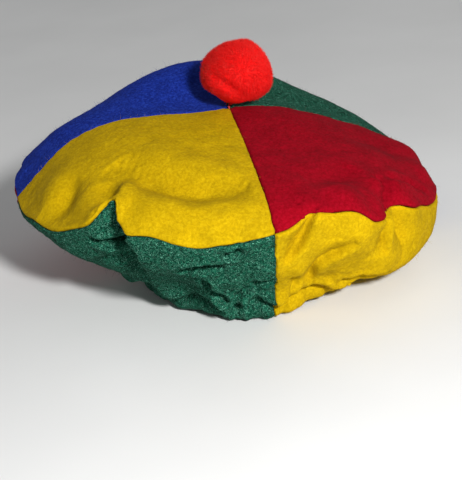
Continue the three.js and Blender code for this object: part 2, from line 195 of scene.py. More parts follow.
# ---- the casing: a soft tube round the elastic ----
# (inset, height) in mm of its outer face, from the stitch line outside to the turned edge inside.
CASING_SECTION = np.array([
    (1.7, 14.5), (0.3, 11.8), (-0.9, 7.8), (-0.4, 3.6), (1.6, 0.9), (4.4, 0.0), (7.1, 0.8),
    (8.7, 3.4), (8.9, 8.0), (8.2, 11.6), (6.2, 13.6), (5.5, 15.5),
]) * MM
RUFFLE_OUT = 2.6 * MM
RUFFLE_BASE = 0.35  # gathers stand out further than they fold in
RUFFLE_UP = 2.0 * MM
SCALLOP_UP = 2.2 * MM
CASING_PUSHES = [(-11, 17, 4.5)]  # where the casing swells forward, as RIM_WAVES
RUFFLE_LIFT = 0.9 * MM  # how far the bottom edge leaves the floor between gathers
RUFFLE_LAG = 0.04  # radians by which the rise of a gather follows its swell
# The places of its sides, as parts of the way along its section:
OUTER_SIDE_END = 0.45
BELLY_END = 0.5
PUSH_END = 0.6
BOTTOM = 0.4
BOTTOM_WIDTH = 0.16


def curve_through(points, at):
    """Smooth values between points, where at runs from 0 to their count less one."""
    padded = np.concatenate([2 * points[:1] - points[1:2], points, 2 * points[-1:] - points[-2:-1]])
    i = np.clip(np.floor(at).astype(int), 0, len(points) - 2)
    t = (at - i)[..., None]
    a, b, c, d = (padded[i + k] for k in range(4))
    slope = (c - a) * t
    bend = (2 * a - 5 * b + 4 * c - d) * t**2
    return 0.5 * (2 * b + slope + bend + (3 * b - a - 3 * c + d) * t**3)


def casing(bearing, along):
    """along is 0 at the stitch line on the outside, and 1 at the turned edge inside."""
    section = curve_through(CASING_SECTION, along * (len(CASING_SECTION) - 1))
    inset, height = section[..., 0], section[..., 1]
    outer_side = np.clip(1 - along / OUTER_SIDE_END, 0, 1)
    wave = ruffle(bearing)
    belly = 0.45 + 0.55 * np.sin(np.pi * np.clip(along / BELLY_END, 0, 1))
    out = RUFFLE_OUT * (wave + RUFFLE_BASE) * np.sqrt(outer_side) * belly
    out += waves(bearing, CASING_PUSHES) * np.sqrt(np.clip(1 - along / PUSH_END, 0, 1))
    at_bottom = np.exp(-(((along - BOTTOM) / BOTTOM_WIDTH) ** 2))
    rise = RUFFLE_UP * ruffle(bearing + RUFFLE_LAG) + SCALLOP_UP * scallop(bearing)
    up = rise * outer_side + RUFFLE_LIFT * (0.6 - wave) * at_bottom
    return hem(bearing, inset - out, height + up)


def underside(bearing, fall):
    """fall is 0 at the rim and 1 at the top of the hem casing."""
    edge = plain_rim(bearing)
    foot = casing(bearing, 0 * fall)
    round_way = stack(np.cos(bearing), np.sin(bearing), 0 * bearing)
    bulge_way = unit(np.cross(hem(bearing, 0, CASING_TOP) - edge, round_way))
    side = np.sin(bearing)
    most = UNDERSIDE_BULGE + UNDERSIDE_SIDE_BULGE * side**2 + UNDERSIDE_DROOP * side
    bulge = bulge_way * (most * np.sin(np.pi * fall))[..., None]
    near_rim = np.exp(-((fall / RIM_WAVE_BELOW) ** 2)) * (1 - fall)
    place = edge + (foot - edge) * fall[..., None] + bulge + rim_wave(bearing) * near_rim[..., None]
    lowest = np.exp(-(((fall - HANG_AT) / HANG_WIDTH) ** 2)) * np.sqrt(np.clip(1 - fall, 0, 1))
    size = lowest * (1 - HANG_UNEVEN * scallop(bearing))
    place -= hem_inward(bearing) * (HANG_OUT * size)[..., None]
    place[..., 2] -= HANG_DOWN * size
    return place


# ---- the grid that the folds and the cloth simulation work on ----
COLUMNS = 288
CROWN_ROWS = 44
UNDERSIDE_ROWS = 30
REACH_START = 0.022  # the first row, just outside the hole for the pompom's thread
RIM_BLEND_ROWS = 4


def bearings_round(columns):
    return -np.pi + TURN * np.arange(columns) / columns


def hat_grid():
    """Points of the whole hat, from the crossing over the rim to the casing, row by row."""
    reach = np.linspace(REACH_START, 1, CROWN_ROWS)[:, None]
    fall = np.linspace(0, 1, UNDERSIDE_ROWS)[1:, None]
    bearing = bearings_round(COLUMNS)
    return np.concatenate([crown(*np.broadcast_arrays(bearing, reach)),
                           underside(*np.broadcast_arrays(bearing, fall))])


def row_of(way, grid):
    """The grid's row at a way down the hat: 0 at the crossing, 1 at the rim and 2 at the casing."""
    on_crown = (way - REACH_START) / (1 - REACH_START) * (CROWN_ROWS - 1)
    below = CROWN_ROWS - 1 + (way - 1) * (UNDERSIDE_ROWS - 1)
    finer = (len(grid) - 1) / (CROWN_ROWS + UNDERSIDE_ROWS - 2)
    return np.where(way < 1, on_crown, below) * finer


def sample(grid, row, bearing):
    """Smooth points between the grid's points. The first and last rows end it; bearings go round."""
    rows, columns = grid.shape[:2]
    padded = np.concatenate([2 * grid[:1] - grid[1:2], grid, 2 * grid[-1:] - grid[-2:-1]])
    column = (bearing + np.pi) / TURN * columns
    i = np.clip(np.floor(row).astype(int), 0, rows - 2)
    j = np.floor(column).astype(int)

    def weights(t):
        return [(-t + 2 * t**2 - t**3) / 2, (2 - 5 * t**2 + 3 * t**3) / 2,
                (t + 4 * t**2 - 3 * t**3) / 2, (t**3 - t**2) / 2]

    total = 0
    for a, wa in enumerate(weights(row - i)):
        for b, wb in enumerate(weights(column - j)):
            total = total + padded[i + a, (j - 1 + b) % columns] * (wa * wb)[..., None]
    return total


FINER = 3  # the grid that the sharp folds are pressed into is this much finer


def refined(grid):
    rows = np.linspace(0, len(grid) - 1, (len(grid) - 1) * FINER + 1)
    bearing = bearings_round(grid.shape[1] * FINER)
    return sample(grid, *np.broadcast_arrays(rows[:, None], bearing))


def grid_normals(points, goes_round=False):
    down = np.gradient(points, axis=0)
    if goes_round:
        across = (np.roll(points, -1, axis=1) - np.roll(points, 1, axis=1)) / 2
    else:
        across = np.gradient(points, axis=1)
    return unit(np.cross(down, across))


def push_ways(grid):
    """Outward ways that turn slowly over the rim, so that a push moves crown and underside alike."""
    normals = grid_normals(grid, True)
    finer = (len(grid) - 1) // (CROWN_ROWS + UNDERSIDE_ROWS - 2)
    reach = RIM_BLEND_ROWS * finer
    weights = np.exp(-((np.arange(-2 * reach, 2 * reach + 1) / reach) ** 2))
    padded = np.pad(normals, ((2 * reach, 2 * reach), (0, 0), (0, 0)), mode="edge")
    return unit(sum(w * padded[k:k + len(normals)] for k, w in enumerate(weights)))


# ---- folds ----
# Each is a line of (bearing, way) points on the hat, with a depth and a width in mm. A bearing is in
# degrees, and a way is 0 at the crossing, 1 at the rim and 2 at the top of the casing.
SOFT_FOLDS = [
    ([(-52, 0.80), (-46, 0.88), (-43, 0.95), (-42, 1.0)], 7.0, 7.0),
    ([(-65, 0.80), (-63, 0.88), (-61, 0.96)], 4.0, 8.0),
    ([(-56, 0.70), (-38, 0.74), (-26, 0.775), (-16, 0.785), (-4, 0.76)], 8.5, 12.0),
    ([(14, 0.80), (26, 0.79), (38, 0.76)], 3.5, 10.0),
    ([(37, 0.90), (38, 0.98), (40, 1.15), (44, 1.32), (47, 1.45)], 6.5, 7.5),
    ([(66, 0.55), (72, 0.75), (70, 0.93)], 3.0, 12.0),
    ([(-138, 0.80), (-126, 0.84), (-114, 0.80)], 2.5, 12.0),
    ([(118, 0.80), (140, 0.84), (160, 0.80)], 5.0, 12.0),
    ([(-168, 0.86), (-178, 0.80), (172, 0.72)], 4.0, 11.0),
    ([(150, 0.84), (152, 1.05), (160, 1.35)], 4.5, 9.0),
    ([(-158, 0.84), (-156, 1.06), (-150, 1.4)], 4.5, 9.0),
    ([(96, 1.0), (100, 1.35), (112, 1.62)], 6.0, 8.0),
    ([(-106, 0.95), (-100, 1.3), (-88, 1.6)], 6.0, 8.0),
]
# Where the slack felt stands out in a pillow: (bearing, way, radius and height in mm).
PUFFS = [
    (-30, 0.91, 18, 5.0), (-17, 0.90, 18, 5.0), (-5, 0.91, 15, 4.0), (-72, 0.86, 20, 3.0),
    (-30, 1.30, 17, 6.0), (-12, 1.10, 10, 2.0), (-18, 1.55, 11, 4.0), (-4, 1.45, 10, 2.5),
    (24, 0.90, 14, 3.5), (47, 0.92, 12, 3.0), (70, 0.91, 14, 5.0), (23, 1.18, 19, 6.5),
    (64, 1.28, 24, 6.0), (34, 1.55, 13, 3.0), (9, 1.55, 9, 2.5), (-60, 1.25, 18, 3.0),
    (-52, 1.55, 12, 3.0), (120, 1.3, 20, 5.0), (160, 1.2, 18, 5.0), (-170, 1.3, 18, 5.0),
    (-130, 1.3, 20, 5.0), (135, 0.9, 18, 4.0), (175, 0.9, 18, 4.0), (-135, 0.9, 18, 4.0),
    (-104, 0.80, 26, 6.0), (-106, 0.64, 24, 2.5), (112, 0.68, 30, 4.5), (84, 0.87, 15, 4.5),
    (43, 1.60, 20, 9.5), (53, 1.40, 16, 3.5), (31, 1.82, 12, 4.0),
]
SHARP_FOLDS = [
    ([(-50, 1.12), (-47, 1.20), (-43, 1.25), (-37, 1.25)], 9.0, 2.6),
    ([(-28, 1.40), (-23, 1.315), (-18, 1.28), (-14.5, 1.335)], 9.0, 3.0),
    ([(-21.5, 1.50), (-22.5, 1.66), (-20, 1.80), (-17, 1.88)], 8.0, 2.6),
    ([(-17, 1.90), (-13.5, 1.83), (-10, 1.72)], 8.0, 2.6),
    ([(-8.5, 1.73), (-4, 1.65), (0, 1.61)], 4.5, 2.8),
    ([(-13.5, 1.11), (-11, 1.12), (-8.5, 1.14)], 8.0, 2.6),
    ([(-9.6, 1.03), (-9.8, 1.14)], 3.5, 2.4),
    ([(41, 0.85), (48, 0.89), (55, 0.925), (61, 0.965)], 2.8, 3.2),
    ([(41, 0.84), (40.5, 0.91), (38, 0.97)], 4.0, 3.6),
    ([(42, 1.55), (33, 1.72), (24, 1.88)], 4.0, 3.0),
    ([(6, 1.62), (8, 1.80), (6, 1.93)], 3.5, 2.8),
    ([(112, 1.12), (118, 1.3), (116, 1.55)], 6.0, 3.2),
    ([(135, 1.5), (142, 1.32), (150, 1.22)], 5.0, 3.0),
    ([(171, 1.1), (176, 1.32), (-176, 1.6)], 6.0, 3.2),
    ([(-168, 1.55), (-160, 1.4), (-150, 1.34)], 5.0, 3.0),
    ([(-131, 1.08), (-126, 1.3), (-128, 1.58)], 6.0, 3.2),
    ([(-84, 1.2), (-78, 1.4), (-68, 1.55)], 5.0, 3.0),
    ([(-62, 1.42), (-52, 1.36), (-46, 1.38)], 3.0, 3.0),
    ([(74, 1.14), (78, 1.36), (86, 1.58)], 5.0, 3.0),
    ([(-118, 1.6), (-108, 1.72), (-98, 1.7)], 4.0, 2.8),
]
FOLD_POINTS = 36
FOLD_SIDE_SHARE = 0.3  # how high the swell beside a fold is, as a share of the fold's depth
FOLD_SIDE_AT = 2.1  # how far beside, in widths of the fold
FOLD_SIDE_SPREAD = 0.9


def fold_line(grid, spots):
    """Points of a fold on the hat, and a taper that is 1 in its middle and 0 at its ends."""
    spots = np.array(spots, float)
    spots[:, 0] = np.degrees(np.unwrap(np.radians(spots[:, 0])))
    along = curve_through(spots, np.linspace(0, len(spots) - 1, FOLD_POINTS))
    line = sample(grid, row_of(along[:, 1], grid), np.radians(along[:, 0]))
    taper = np.sin(np.linspace(0, np.pi, FOLD_POINTS)) ** 0.6
    return line, taper


def press_folds(points, normals, grid, folds):
    """Presses folds into points: a valley along each line, and a low swell on both its sides.

    The lines are found on a grid, which may be the points themselves before they were moved."""
    depth_all = np.zeros(points.shape[:-1])
    for spots, depth, width in folds:
        line, taper = fold_line(grid, spots)
        reach = 4 * width * MM
        low, high = line.min(0) - reach, line.max(0) + reach
        near = np.all((points > low) & (points < high), axis=-1)
        gap = np.linalg.norm(points[near][:, None] - line[None], axis=-1)
        k = gap.argmin(1)
        d = gap.min(1) / (width * MM)
        swell = np.exp(-((d - FOLD_SIDE_AT) ** 2) / FOLD_SIDE_SPREAD)
        shape = np.exp(-d**2) - FOLD_SIDE_SHARE * swell
        depth_all[near] += depth * MM * shape * taper[k]
    return points - normals * depth_all[..., None]


# Pleats, where the felt on the +X side of a line stands out and hangs over the felt beside it:
# points of (bearing, way), then in mm how deep the step is, how far it reaches and how far it hangs over.
PLEATS = [
    ([(-40, 0.98), (-35.5, 1.06), (-33.8, 1.18), (-36.5, 1.40), (-42.5, 1.62), (-49, 1.85)],
     14.0, 13.0, 7.0),
    ([(-50, 1.12), (-47, 1.20), (-43, 1.25), (-37, 1.25)], 8.0, 8.0, 4.0),
    ([(-28, 1.42), (-23, 1.32), (-18, 1.28), (-13.5, 1.34)], 4.0, 9.0, 2.5),
    ([(-22.5, 1.54), (-22.5, 1.70), (-18.5, 1.87)], 3.5, 8.0, 2.0),
    ([(-18, 1.89), (-13.5, 1.84), (-10, 1.70)], 3.5, 8.0, 2.0),
    ([(-13.5, 1.12), (-11.3, 1.13), (-8.5, 1.14)], 3.0, 5.0, 2.0),
    ([(12.5, 0.97), (11.5, 1.06), (10.2, 1.18), (6.5, 1.33), (2.5, 1.40)], 9.0, 10.0, 3.5),
    ([(24, 1.22), (20, 1.38), (16, 1.54), (16.5, 1.72), (17.5, 1.9)], 7.5, 9.0, 2.5),
    ([(39, 1.01), (35, 1.09), (34.5, 1.22), (36, 1.38)], 8.0, 10.0, 2.5),
    ([(98, 1.03), (103, 1.2), (108, 1.42), (116, 1.7)], 6.0, 12.0, 2.0),
    ([(152, 0.98), (154, 1.12), (160, 1.32), (158, 1.6)], 7.0, 12.0, 3.0),
    ([(-163, 1.02), (-158, 1.2), (-154, 1.44), (-148, 1.7)], 6.0, 12.0, 2.5),
    ([(-118, 1.03), (-112, 1.2), (-104, 1.44), (-98, 1.7)], 6.0, 12.0, 2.0),
]
PLEAT_EDGE = 0.8 * MM
PLEAT_FADE = 1.6  # how abruptly its depth ends at its reach
OVERHANG_REACH = 0.6  # part of the pleat's reach
OVERHANG_RISE = 0.7  # how far the overhanging felt also stands out, as a share of the overhang


def press_pleat(points, ways, pleat):
    """Steps the felt down on one side of a line, under an overhang of the felt on its other side."""
    spots, *sizes = pleat
    step, reach, overhang = (size * MM for size in sizes)
    line, taper = fold_line(points, spots)
    low, high = line.min(0) - 3 * reach, line.max(0) + 3 * reach
    near = np.all((points > low) & (points < high), axis=-1)
    gap = points[near][:, None] - line
    distance = np.linalg.norm(gap, axis=-1)
    k = distance.argmin(-1)
    along = unit(np.gradient(line, axis=0))[k]
    away = distance.min(-1)
    sideways = unit(np.cross(ways[near], along))
    beside = (gap[np.arange(len(k)), k] * sideways).sum(-1)
    behind = 1 / (1 + np.exp(np.clip(beside / PLEAT_EDGE, -30, 30)))
    depth = step * behind * np.exp(-((away / reach) ** PLEAT_FADE)) * taper[k]
    over = overhang * (1 - behind) * np.exp(-((away / (OVERHANG_REACH * reach)) ** 2)) * taper[k]
    moved = points.copy()
    moved[near] -= ways[near] * (depth - OVERHANG_RISE * over)[:, None] + sideways * over[:, None]
    return moved


def swell_puffs(points, normals, grid):
    """Lifts the pillows of slack out of points, at places that are found on a grid."""
    lift = np.zeros(points.shape[:-1])
    for bearing, way, radius, height in PUFFS:
        middle = sample(grid, row_of(np.array([way]), grid), np.radians([bearing]))[0]
        lift += height * MM * np.exp(-(np.linalg.norm(points - middle, axis=-1) / (radius * MM)) ** 2)
    return points + normals * lift[..., None]


NOISE_WAVES = 28


def smooth_noise(points, wavelength, seed):
    """A gentle random field, about -1 to 1, with features of a wavelength."""
    random = np.random.default_rng(seed)
    total = np.zeros(points.shape[:-1])
    for _ in range(NOISE_WAVES):
        way = unit(random.normal(size=3)) * TURN / wavelength * random.uniform(0.6, 1.5)
        total += np.sin(points @ way + random.uniform(0, TURN))
    return total / math.sqrt(NOISE_WAVES)


# ---- cloth simulation: the slack felt settles and wrinkles above the gathered hem ----
SIM_FRAMES = 30
GATHER = 1.42  # how much longer the felt is round the hem than the elastic lets it be
RIM_EASE = 0.015  # and how much longer it is round the rim, within some rows of it
RIM_EASE_ROWS = 7.0
LEAST_FALL = 0.15  # before it is gathered, each row lies this share of its step lower, or more


def rest_shape(grid):
    """The felt before it was gathered: as long down the hat, but longer round it near the hem."""
    rows = len(grid)
    below = np.clip((np.arange(rows) - CROWN_ROWS + 1) / (UNDERSIDE_ROWS - 1), 0, 1)
    near_rim = np.exp(-(((np.arange(rows) - CROWN_ROWS + 1) / RIM_EASE_ROWS) ** 2))
    wider = 1 + (GATHER - 1) * below**0.8 + RIM_EASE * near_rim
    flat = grid[..., :2] * wider[:, None, None]
    step = np.linalg.norm(np.diff(grid, axis=0), axis=-1)
    level = np.linalg.norm(np.diff(flat, axis=0), axis=-1)
    fall = np.sqrt(np.clip(step**2 - level**2, (LEAST_FALL * step) ** 2, None))
    height = np.concatenate([np.zeros((1, COLUMNS)), -np.cumsum(fall, axis=0)])
    return np.concatenate([flat, height[..., None]], axis=-1)


def grid_faces(rows, columns, goes_round):
    """Four-cornered faces between the points of a grid whose columns may go round."""
    last = columns if goes_round else columns - 1
    i, j = np.meshgrid(np.arange(rows - 1), np.arange(last), indexing="ij")
    k = (j + 1) % columns
    return np.stack([i * columns + j, (i + 1) * columns + j, (i + 1) * columns + k, i * columns + k],
                    axis=-1).reshape(-1, 4)


def new_mesh(name, points, faces):
    mesh = bpy.data.meshes.new(name)
    faces = np.asarray(faces, np.int32)
    mesh.vertices.add(len(points))
    mesh.vertices.foreach_set("co", np.asarray(points, np.float32).ravel())
    mesh.loops.add(faces.size)
    mesh.loops.foreach_set("vertex_index", faces.ravel())
    mesh.polygons.add(len(faces))
    mesh.polygons.foreach_set("loop_start", np.arange(0, faces.size, faces.shape[1], dtype=np.int32))
    mesh.polygons.foreach_set("use_smooth", np.ones(len(faces), bool))
    mesh.update(calc_edges=True)
    return mesh


def new_object(name, data):
    thing = bpy.data.objects.new(name, data)
    bpy.context.scene.collection.objects.link(thing)
    return thing


# How firmly the felt keeps its place, from 0 to 1, and within how many rows of a line.
CROWN_HOLD = 0.3
SLACK_HOLD = 0.08  # the underside, and the crown from some rows above the rim
SLACK_ROWS = 6
RIM_HOLD = 0.10
RIM_HOLD_ROWS = 2.0
CROSSING_HOLD_ROWS = 9.0
HEM_HOLD_ROWS = 1.6
FIXED_ROWS = 4  # round the crossing


def hold_weights(grid):
    """How firmly each point keeps its place: the crossing and the hem are held, the rest is slack."""
    rows = len(grid)
    row = np.arange(rows)
    middle = np.exp(-((row / CROSSING_HOLD_ROWS) ** 2))
    at_hem = np.exp(-(((row - rows + 1) / HEM_HOLD_ROWS) ** 2))
    at_rim = RIM_HOLD * np.exp(-(((row - CROWN_ROWS + 1) / RIM_HOLD_ROWS) ** 2))
    slack = np.where(row < CROWN_ROWS - SLACK_ROWS, CROWN_HOLD, SLACK_HOLD)
    weight = np.clip(slack + middle + at_hem + at_rim, 0, 1)
    weight[:FIXED_ROWS] = 1
    weight[-1] = 1
    return np.repeat(weight, COLUMNS)


CLOTH = {
    "quality": 7,
    "mass": 0.02,
    "air_damping": 2,
    "tension_stiffness": 12,
    "compression_stiffness": 12,
    "shear_stiffness": 4,
    "bending_stiffness": 0.15,
    "bending_damping": 1,
    "pin_stiffness": 1,
    "vertex_group_mass": "held",
}


def settle(grid):
    """Runs Blender's cloth on the whole hat and gives the settled grid."""
    faces = grid_faces(len(grid), COLUMNS, True)
    cloth = new_object("cloth", new_mesh("cloth", grid.reshape(-1, 3), faces))
    cloth.shape_key_add(name="start")
    rest = cloth.shape_key_add(name="rest")
    rest.data.foreach_set("co", rest_shape(grid).astype(np.float32).ravel())
    rest.value = 0
    held = cloth.vertex_groups.new(name="held")
    for i, weight in enumerate(hold_weights(grid)):
        held.add([i], float(weight), "REPLACE")
    modifier = cloth.modifiers.new("cloth", "CLOTH")
    for key, value in CLOTH.items():
        setattr(modifier.settings, key, value)
    modifier.settings.rest_shape_key = rest
    modifier.settings.effector_weights.gravity = 0
    modifier.collision_settings.use_collision = False
    modifier.point_cache.frame_end = SIM_FRAMES
    scene = bpy.context.scene
    for number in range(1, SIM_FRAMES + 1):
        scene.frame_set(number)
    settled = cloth.evaluated_get(bpy.context.evaluated_depsgraph_get())
    co = np.zeros(grid.size, np.float32)
    settled.data.vertices.foreach_get("co", co)
    bpy.data.objects.remove(cloth)
    scene.frame_set(1)
    return co.reshape(grid.shape).astype(float)


def shaped_hat():
    """The settled and folded shape of the whole hat, as the grid that every panel is cut from."""
    plain = hat_grid()
    grid = press_folds(plain, push_ways(plain), plain, SOFT_FOLDS)
    grid = swell_puffs(grid, push_ways(grid), plain)
    grid = settle(grid)
    grid = refined(grid)
    grid = press_folds(grid, push_ways(grid), grid, SHARP_FOLDS)
    ways = push_ways(grid)
    for pleat in PLEATS:
        grid = press_pleat(grid, ways, pleat)
    return grid


HAT = shaped_hat()
RIM_ROW = (CROWN_ROWS - 1) * FINER
HEM_ROW = (UNDERSIDE_ROWS - 1) * FINER
CROWN_GRID = HAT[:RIM_ROW + 1]
UNDERSIDE_GRID = HAT[RIM_ROW:]
RIM_WAYS = np.repeat(push_ways(HAT)[RIM_ROW][None], 2, axis=0)  # outward, all round the rim


# ---- cutting a panel ----
PANEL_COLUMNS = 170
CROWN_PANEL_ROWS = 116
UNDERSIDE_PANEL_ROWS = 72
CASING_PANEL_ROWS = 34
SEAM_ROUND = 1.9 * MM  # radius of the felt's turn into a seam
SEAM_TOUCH = 0.05 * MM
ALLOWANCE = 4.5 * MM
TURN_STEPS = 5
ALLOWANCE_STEPS = 3
SMALL_TURN = 1e-3  # radians, the step for slopes round the hat


def seam_turn():
    """[across, down] of the felt's outer face as it turns into a seam, from its edge inward."""
    angle = np.linspace(1, 0, TURN_STEPS + 1)[:-1] * QUARTER
    down = np.linspace(1, 0, ALLOWANCE_STEPS + 1)[:-1] * ALLOWANCE
    flange = np.stack([np.full_like(down, SEAM_TOUCH), SEAM_ROUND + down], axis=-1)
    turn = np.stack([SEAM_TOUCH + SEAM_ROUND * (1 - np.sin(angle)),
                     SEAM_ROUND * (1 - np.cos(angle))], axis=-1)
    return np.concatenate([flange, turn])


def row_points(grid, row, bearing):
    return sample(grid, np.full(bearing.shape, float(row)), bearing)


RIM_SLOPE_ROWS = 1.6 * FINER  # the slopes beside the rim are taken over so many rows
RIM_OUTWARD = 0.7  # how much the felt's turn follows the hat's outward way, and not only the two slopes


def rim_frame(bearing):
    """At the rim: the corner, the way to the crown, the way to the hem, and the way inward."""
    corner = row_points(CROWN_GRID, RIM_ROW, bearing)
    to_crown = unit(row_points(CROWN_GRID, RIM_ROW - RIM_SLOPE_ROWS, bearing) - corner)
    to_hem = unit(row_points(UNDERSIDE_GRID, RIM_SLOPE_ROWS, bearing) - corner)
    inward = unit(to_crown + to_hem - RIM_OUTWARD * row_points(RIM_WAYS, 0, bearing))
    return corner, to_crown, to_hem, inward


RIM_ROUND = 1.7 * MM
RIM_TURN_ROWS = 8
RIM_ALLOWANCE_PARTS = (0.4, 0.75, 1.0)  # rows on the allowance, as parts of its width
RIM_ROWS = RIM_TURN_ROWS - 1 + len(RIM_ALLOWANCE_PARTS)  # without the one that ends the sheet
SHARPEST_TURN = 0.5  # radians


def rim_turn(bearing, crown_side):
    """Rows of points from a sheet's end near the rim, round its turn and into the hat."""
    corner, to_crown, to_hem, inward = rim_frame(bearing)
    way = to_crown if crown_side else to_hem
    cosine = (way * inward).sum(-1)
    half = np.clip(np.arccos(np.clip(cosine, -1, 1)), SHARPEST_TURN, np.pi - SHARPEST_TURN)
    side = unit(way - inward * cosine[..., None])
    centre_up = RIM_ROUND + SEAM_TOUCH
    centre_in = (RIM_ROUND + centre_up * np.cos(half)) / np.sin(half)
    rows = []
    for part in np.linspace(0, 1, RIM_TURN_ROWS):
        angle = QUARTER + half + (np.pi - half) * part
        x = centre_in + RIM_ROUND * np.cos(angle)
        y = centre_up + RIM_ROUND * np.sin(angle)
        rows.append(corner + inward * x[..., None] + side * y[..., None])
    for part in RIM_ALLOWANCE_PARTS:
        x = centre_in + ALLOWANCE * part
        rows.append(corner + inward * x[..., None] + side * SEAM_TOUCH)
    start = centre_in * np.cos(half) + centre_up * np.sin(half)
    return np.stack(rows), start


def turned_sheet(base, seam, size_at):
    """Rows of points of a panel, with its two sides turned into their seams.

    base gives the panel's points for a table of bearings, and size_at how large each row's turn is."""
    sides = []
    for at, toward in ((seam, 1), (seam + QUARTER, -1)):
        line, beside = (base(np.full((len(size_at), 1), bearing))[:, 0]
                        for bearing in (at, at + toward * SMALL_TURN))
        along = unit(np.gradient(line, axis=0))
        across = beside - line
        per_bearing = np.linalg.norm(across, axis=-1) / SMALL_TURN
        across = unit(across - along * (across * along).sum(-1, keepdims=True))
        normal = np.cross(along, across) * toward
        columns = [line + across * (a * size_at)[:, None] - normal * (d * size_at)[:, None]
                   for a, d in seam_turn()]
        reach = (SEAM_TOUCH + SEAM_ROUND) * size_at / per_bearing
        sides.append((np.stack(columns, axis=1), reach[:, None]))
    (first, first_reach), (last, last_reach) = sides
    low = seam + first_reach
    high = seam + QUARTER - last_reach
    middle = base(low + (high - low) * np.linspace(0, 1, PANEL_COLUMNS))
    return np.concatenate([first, middle, last[:, ::-1]], axis=1)


# How large a seam's turn is, where it is less than 1: it shrinks towards the crossing, the rim and
# the raw edge in the casing.
FULL_TURN_WIDTH = 14 * MM  # a crown panel is this wide where its seams' turns are full
RIM_QUARTER = 228 * MM  # width of a crown panel at the rim, along the arc
RIM_TURN_SIZE = 0.25
RAW_EDGE_TURN_SIZE = 0.35
RIM_FADE_ROWS = 6  # rows beside the rim over which the turn shrinks


def row_step(grid, row, next_row, bearing):
    """How far apart the rows of a fine grid are, beside a row."""
    gap = row_points(grid, row, bearing) - row_points(grid, next_row, bearing)
    return np.linalg.norm(gap, axis=-1) / FINER


def crown_panel_points(seam):
    def base(bearing):
        rim_rows, start = rim_turn(bearing[-1], True)
        end = RIM_ROW - start / row_step(CROWN_GRID, RIM_ROW, RIM_ROW - FINER, bearing[-1])
        rows = np.linspace(0, 1, CROWN_PANEL_ROWS)[:, None] * end
        top = sample(CROWN_GRID, rows, bearing[:CROWN_PANEL_ROWS])
        return np.concatenate([top, rim_rows[1:]])

    width = np.linspace(REACH_START, 1, CROWN_PANEL_ROWS) * RIM_QUARTER
    size = np.concatenate([np.clip(width / FULL_TURN_WIDTH, 0, 1), np.ones(RIM_ROWS)])
    fading = RIM_FADE_ROWS + RIM_ROWS
    size[-fading:] = np.linspace(1, RIM_TURN_SIZE, fading)
    return turned_sheet(base, seam, size)


def underside_panel_points(seam):
    slope_end = RIM_ROWS + UNDERSIDE_PANEL_ROWS

    def base(bearing):
        rim_rows, start = rim_turn(bearing[0], False)
        begin = start / row_step(UNDERSIDE_GRID, FINER, 0, bearing[0])
        rows = begin + (HEM_ROW - begin) * np.linspace(0, 1, UNDERSIDE_PANEL_ROWS)[:, None]
        slope = sample(UNDERSIDE_GRID, rows, bearing[RIM_ROWS:slope_end])
        along = np.linspace(0, 1, CASING_PANEL_ROWS + 1)[1:, None]
        fold = casing(*np.broadcast_arrays(bearing[slope_end:], along))
        return np.concatenate([rim_rows[1:][::-1], slope, fold])

    size = np.ones(slope_end + CASING_PANEL_ROWS)
    fading = RIM_FADE_ROWS + RIM_ROWS
    size[:fading] = np.linspace(RIM_TURN_SIZE, 1, fading)
    size[slope_end:] = np.linspace(1, RAW_EDGE_TURN_SIZE, CASING_PANEL_ROWS)
    return turned_sheet(base, seam, size)


def closed_sheet(outer, thickness):
    """Points and faces of an outer face, the same face moved inward, and the wall between them."""
    rows, columns = outer.shape[:2]
    inner = outer - grid_normals(outer) * thickness[..., None]
    top = grid_faces(rows, columns, False)
    under = top[:, ::-1] + rows * columns
    border = np.concatenate([
        np.arange(columns - 1), np.arange(rows - 1) * columns + columns - 1,
        (rows - 1) * columns + np.arange(columns - 1, 0, -1), np.arange(rows - 1, 0, -1) * columns])
    after = np.roll(border, -1)
    wall = np.stack([border, after, after + rows * columns, border + rows * columns], axis=-1)
    return np.concatenate([outer.reshape(-1, 3), inner.reshape(-1, 3)]), np.concatenate([top, under, wall])


THINNING_COLUMNS = 3  # columns over which the felt goes from its seam's thickness to its full one


def felt_thickness(rows, columns):
    """Full in a panel's middle, and pressed thinner where it turns into the seams."""
    edge = ALLOWANCE_STEPS + TURN_STEPS
    across = np.minimum(np.arange(columns), columns - 1 - np.arange(columns))
    blend = np.clip((across - edge) / THINNING_COLUMNS, 0, 1)
    return np.broadcast_to(FELT_AT_SEAM + (FELT - FELT_AT_SEAM) * blend, (rows, columns))


RELIEF = [(0.16, 22), (0.06, 6)]  # (height, wavelength) in mm: soft billows, then small tufts


def felt_relief(points, seed):
    """The points of a felt's outer face with the lumps of the felt itself."""
    lift = sum(height * MM * smooth_noise(points, wavelength * MM, seed + k)
               for k, (height, wavelength) in enumerate(RELIEF))
    return points + grid_normals(points) * lift[..., None]


# The quarters in their order round the hat, with the felts of their crown and underside.
QUARTERS = [
    ("front_left", "crimson", "yellow"),
    ("back_left", "green", "blue"),
    ("back_right", "blue", "crimson"),
    ("front_right", "yellow", "green"),
]


# ---- materials ----
def linear(r, g, b):
    """Linear colour from 0-255 display values."""
    def one(c):
        c = c / 255
        return c / 12.92 if c <= 0.04045 else ((c + 0.055) / 1.055) ** 2.4
    return (one(r), one(g), one(b), 1)


def grey(value):
    return (value, value, value, 1)


def new_material(name):
    material = bpy.data.materials.new(name)
    material.use_nodes = True
    material.node_tree.nodes.clear()
    return material


def node(material, kind, inputs=None, **settings):
    """A new node with some settings, and with inputs that are values or other nodes' outputs."""
    made = material.node_tree.nodes.new(kind)
    for key, value in settings.items():
        setattr(made, key, value)
    for key, value in (inputs or {}).items():
        if isinstance(value, bpy.types.NodeSocket):
            material.node_tree.links.new(value, made.inputs[key])
        else:
            made.inputs[key].default_value = value
    return made


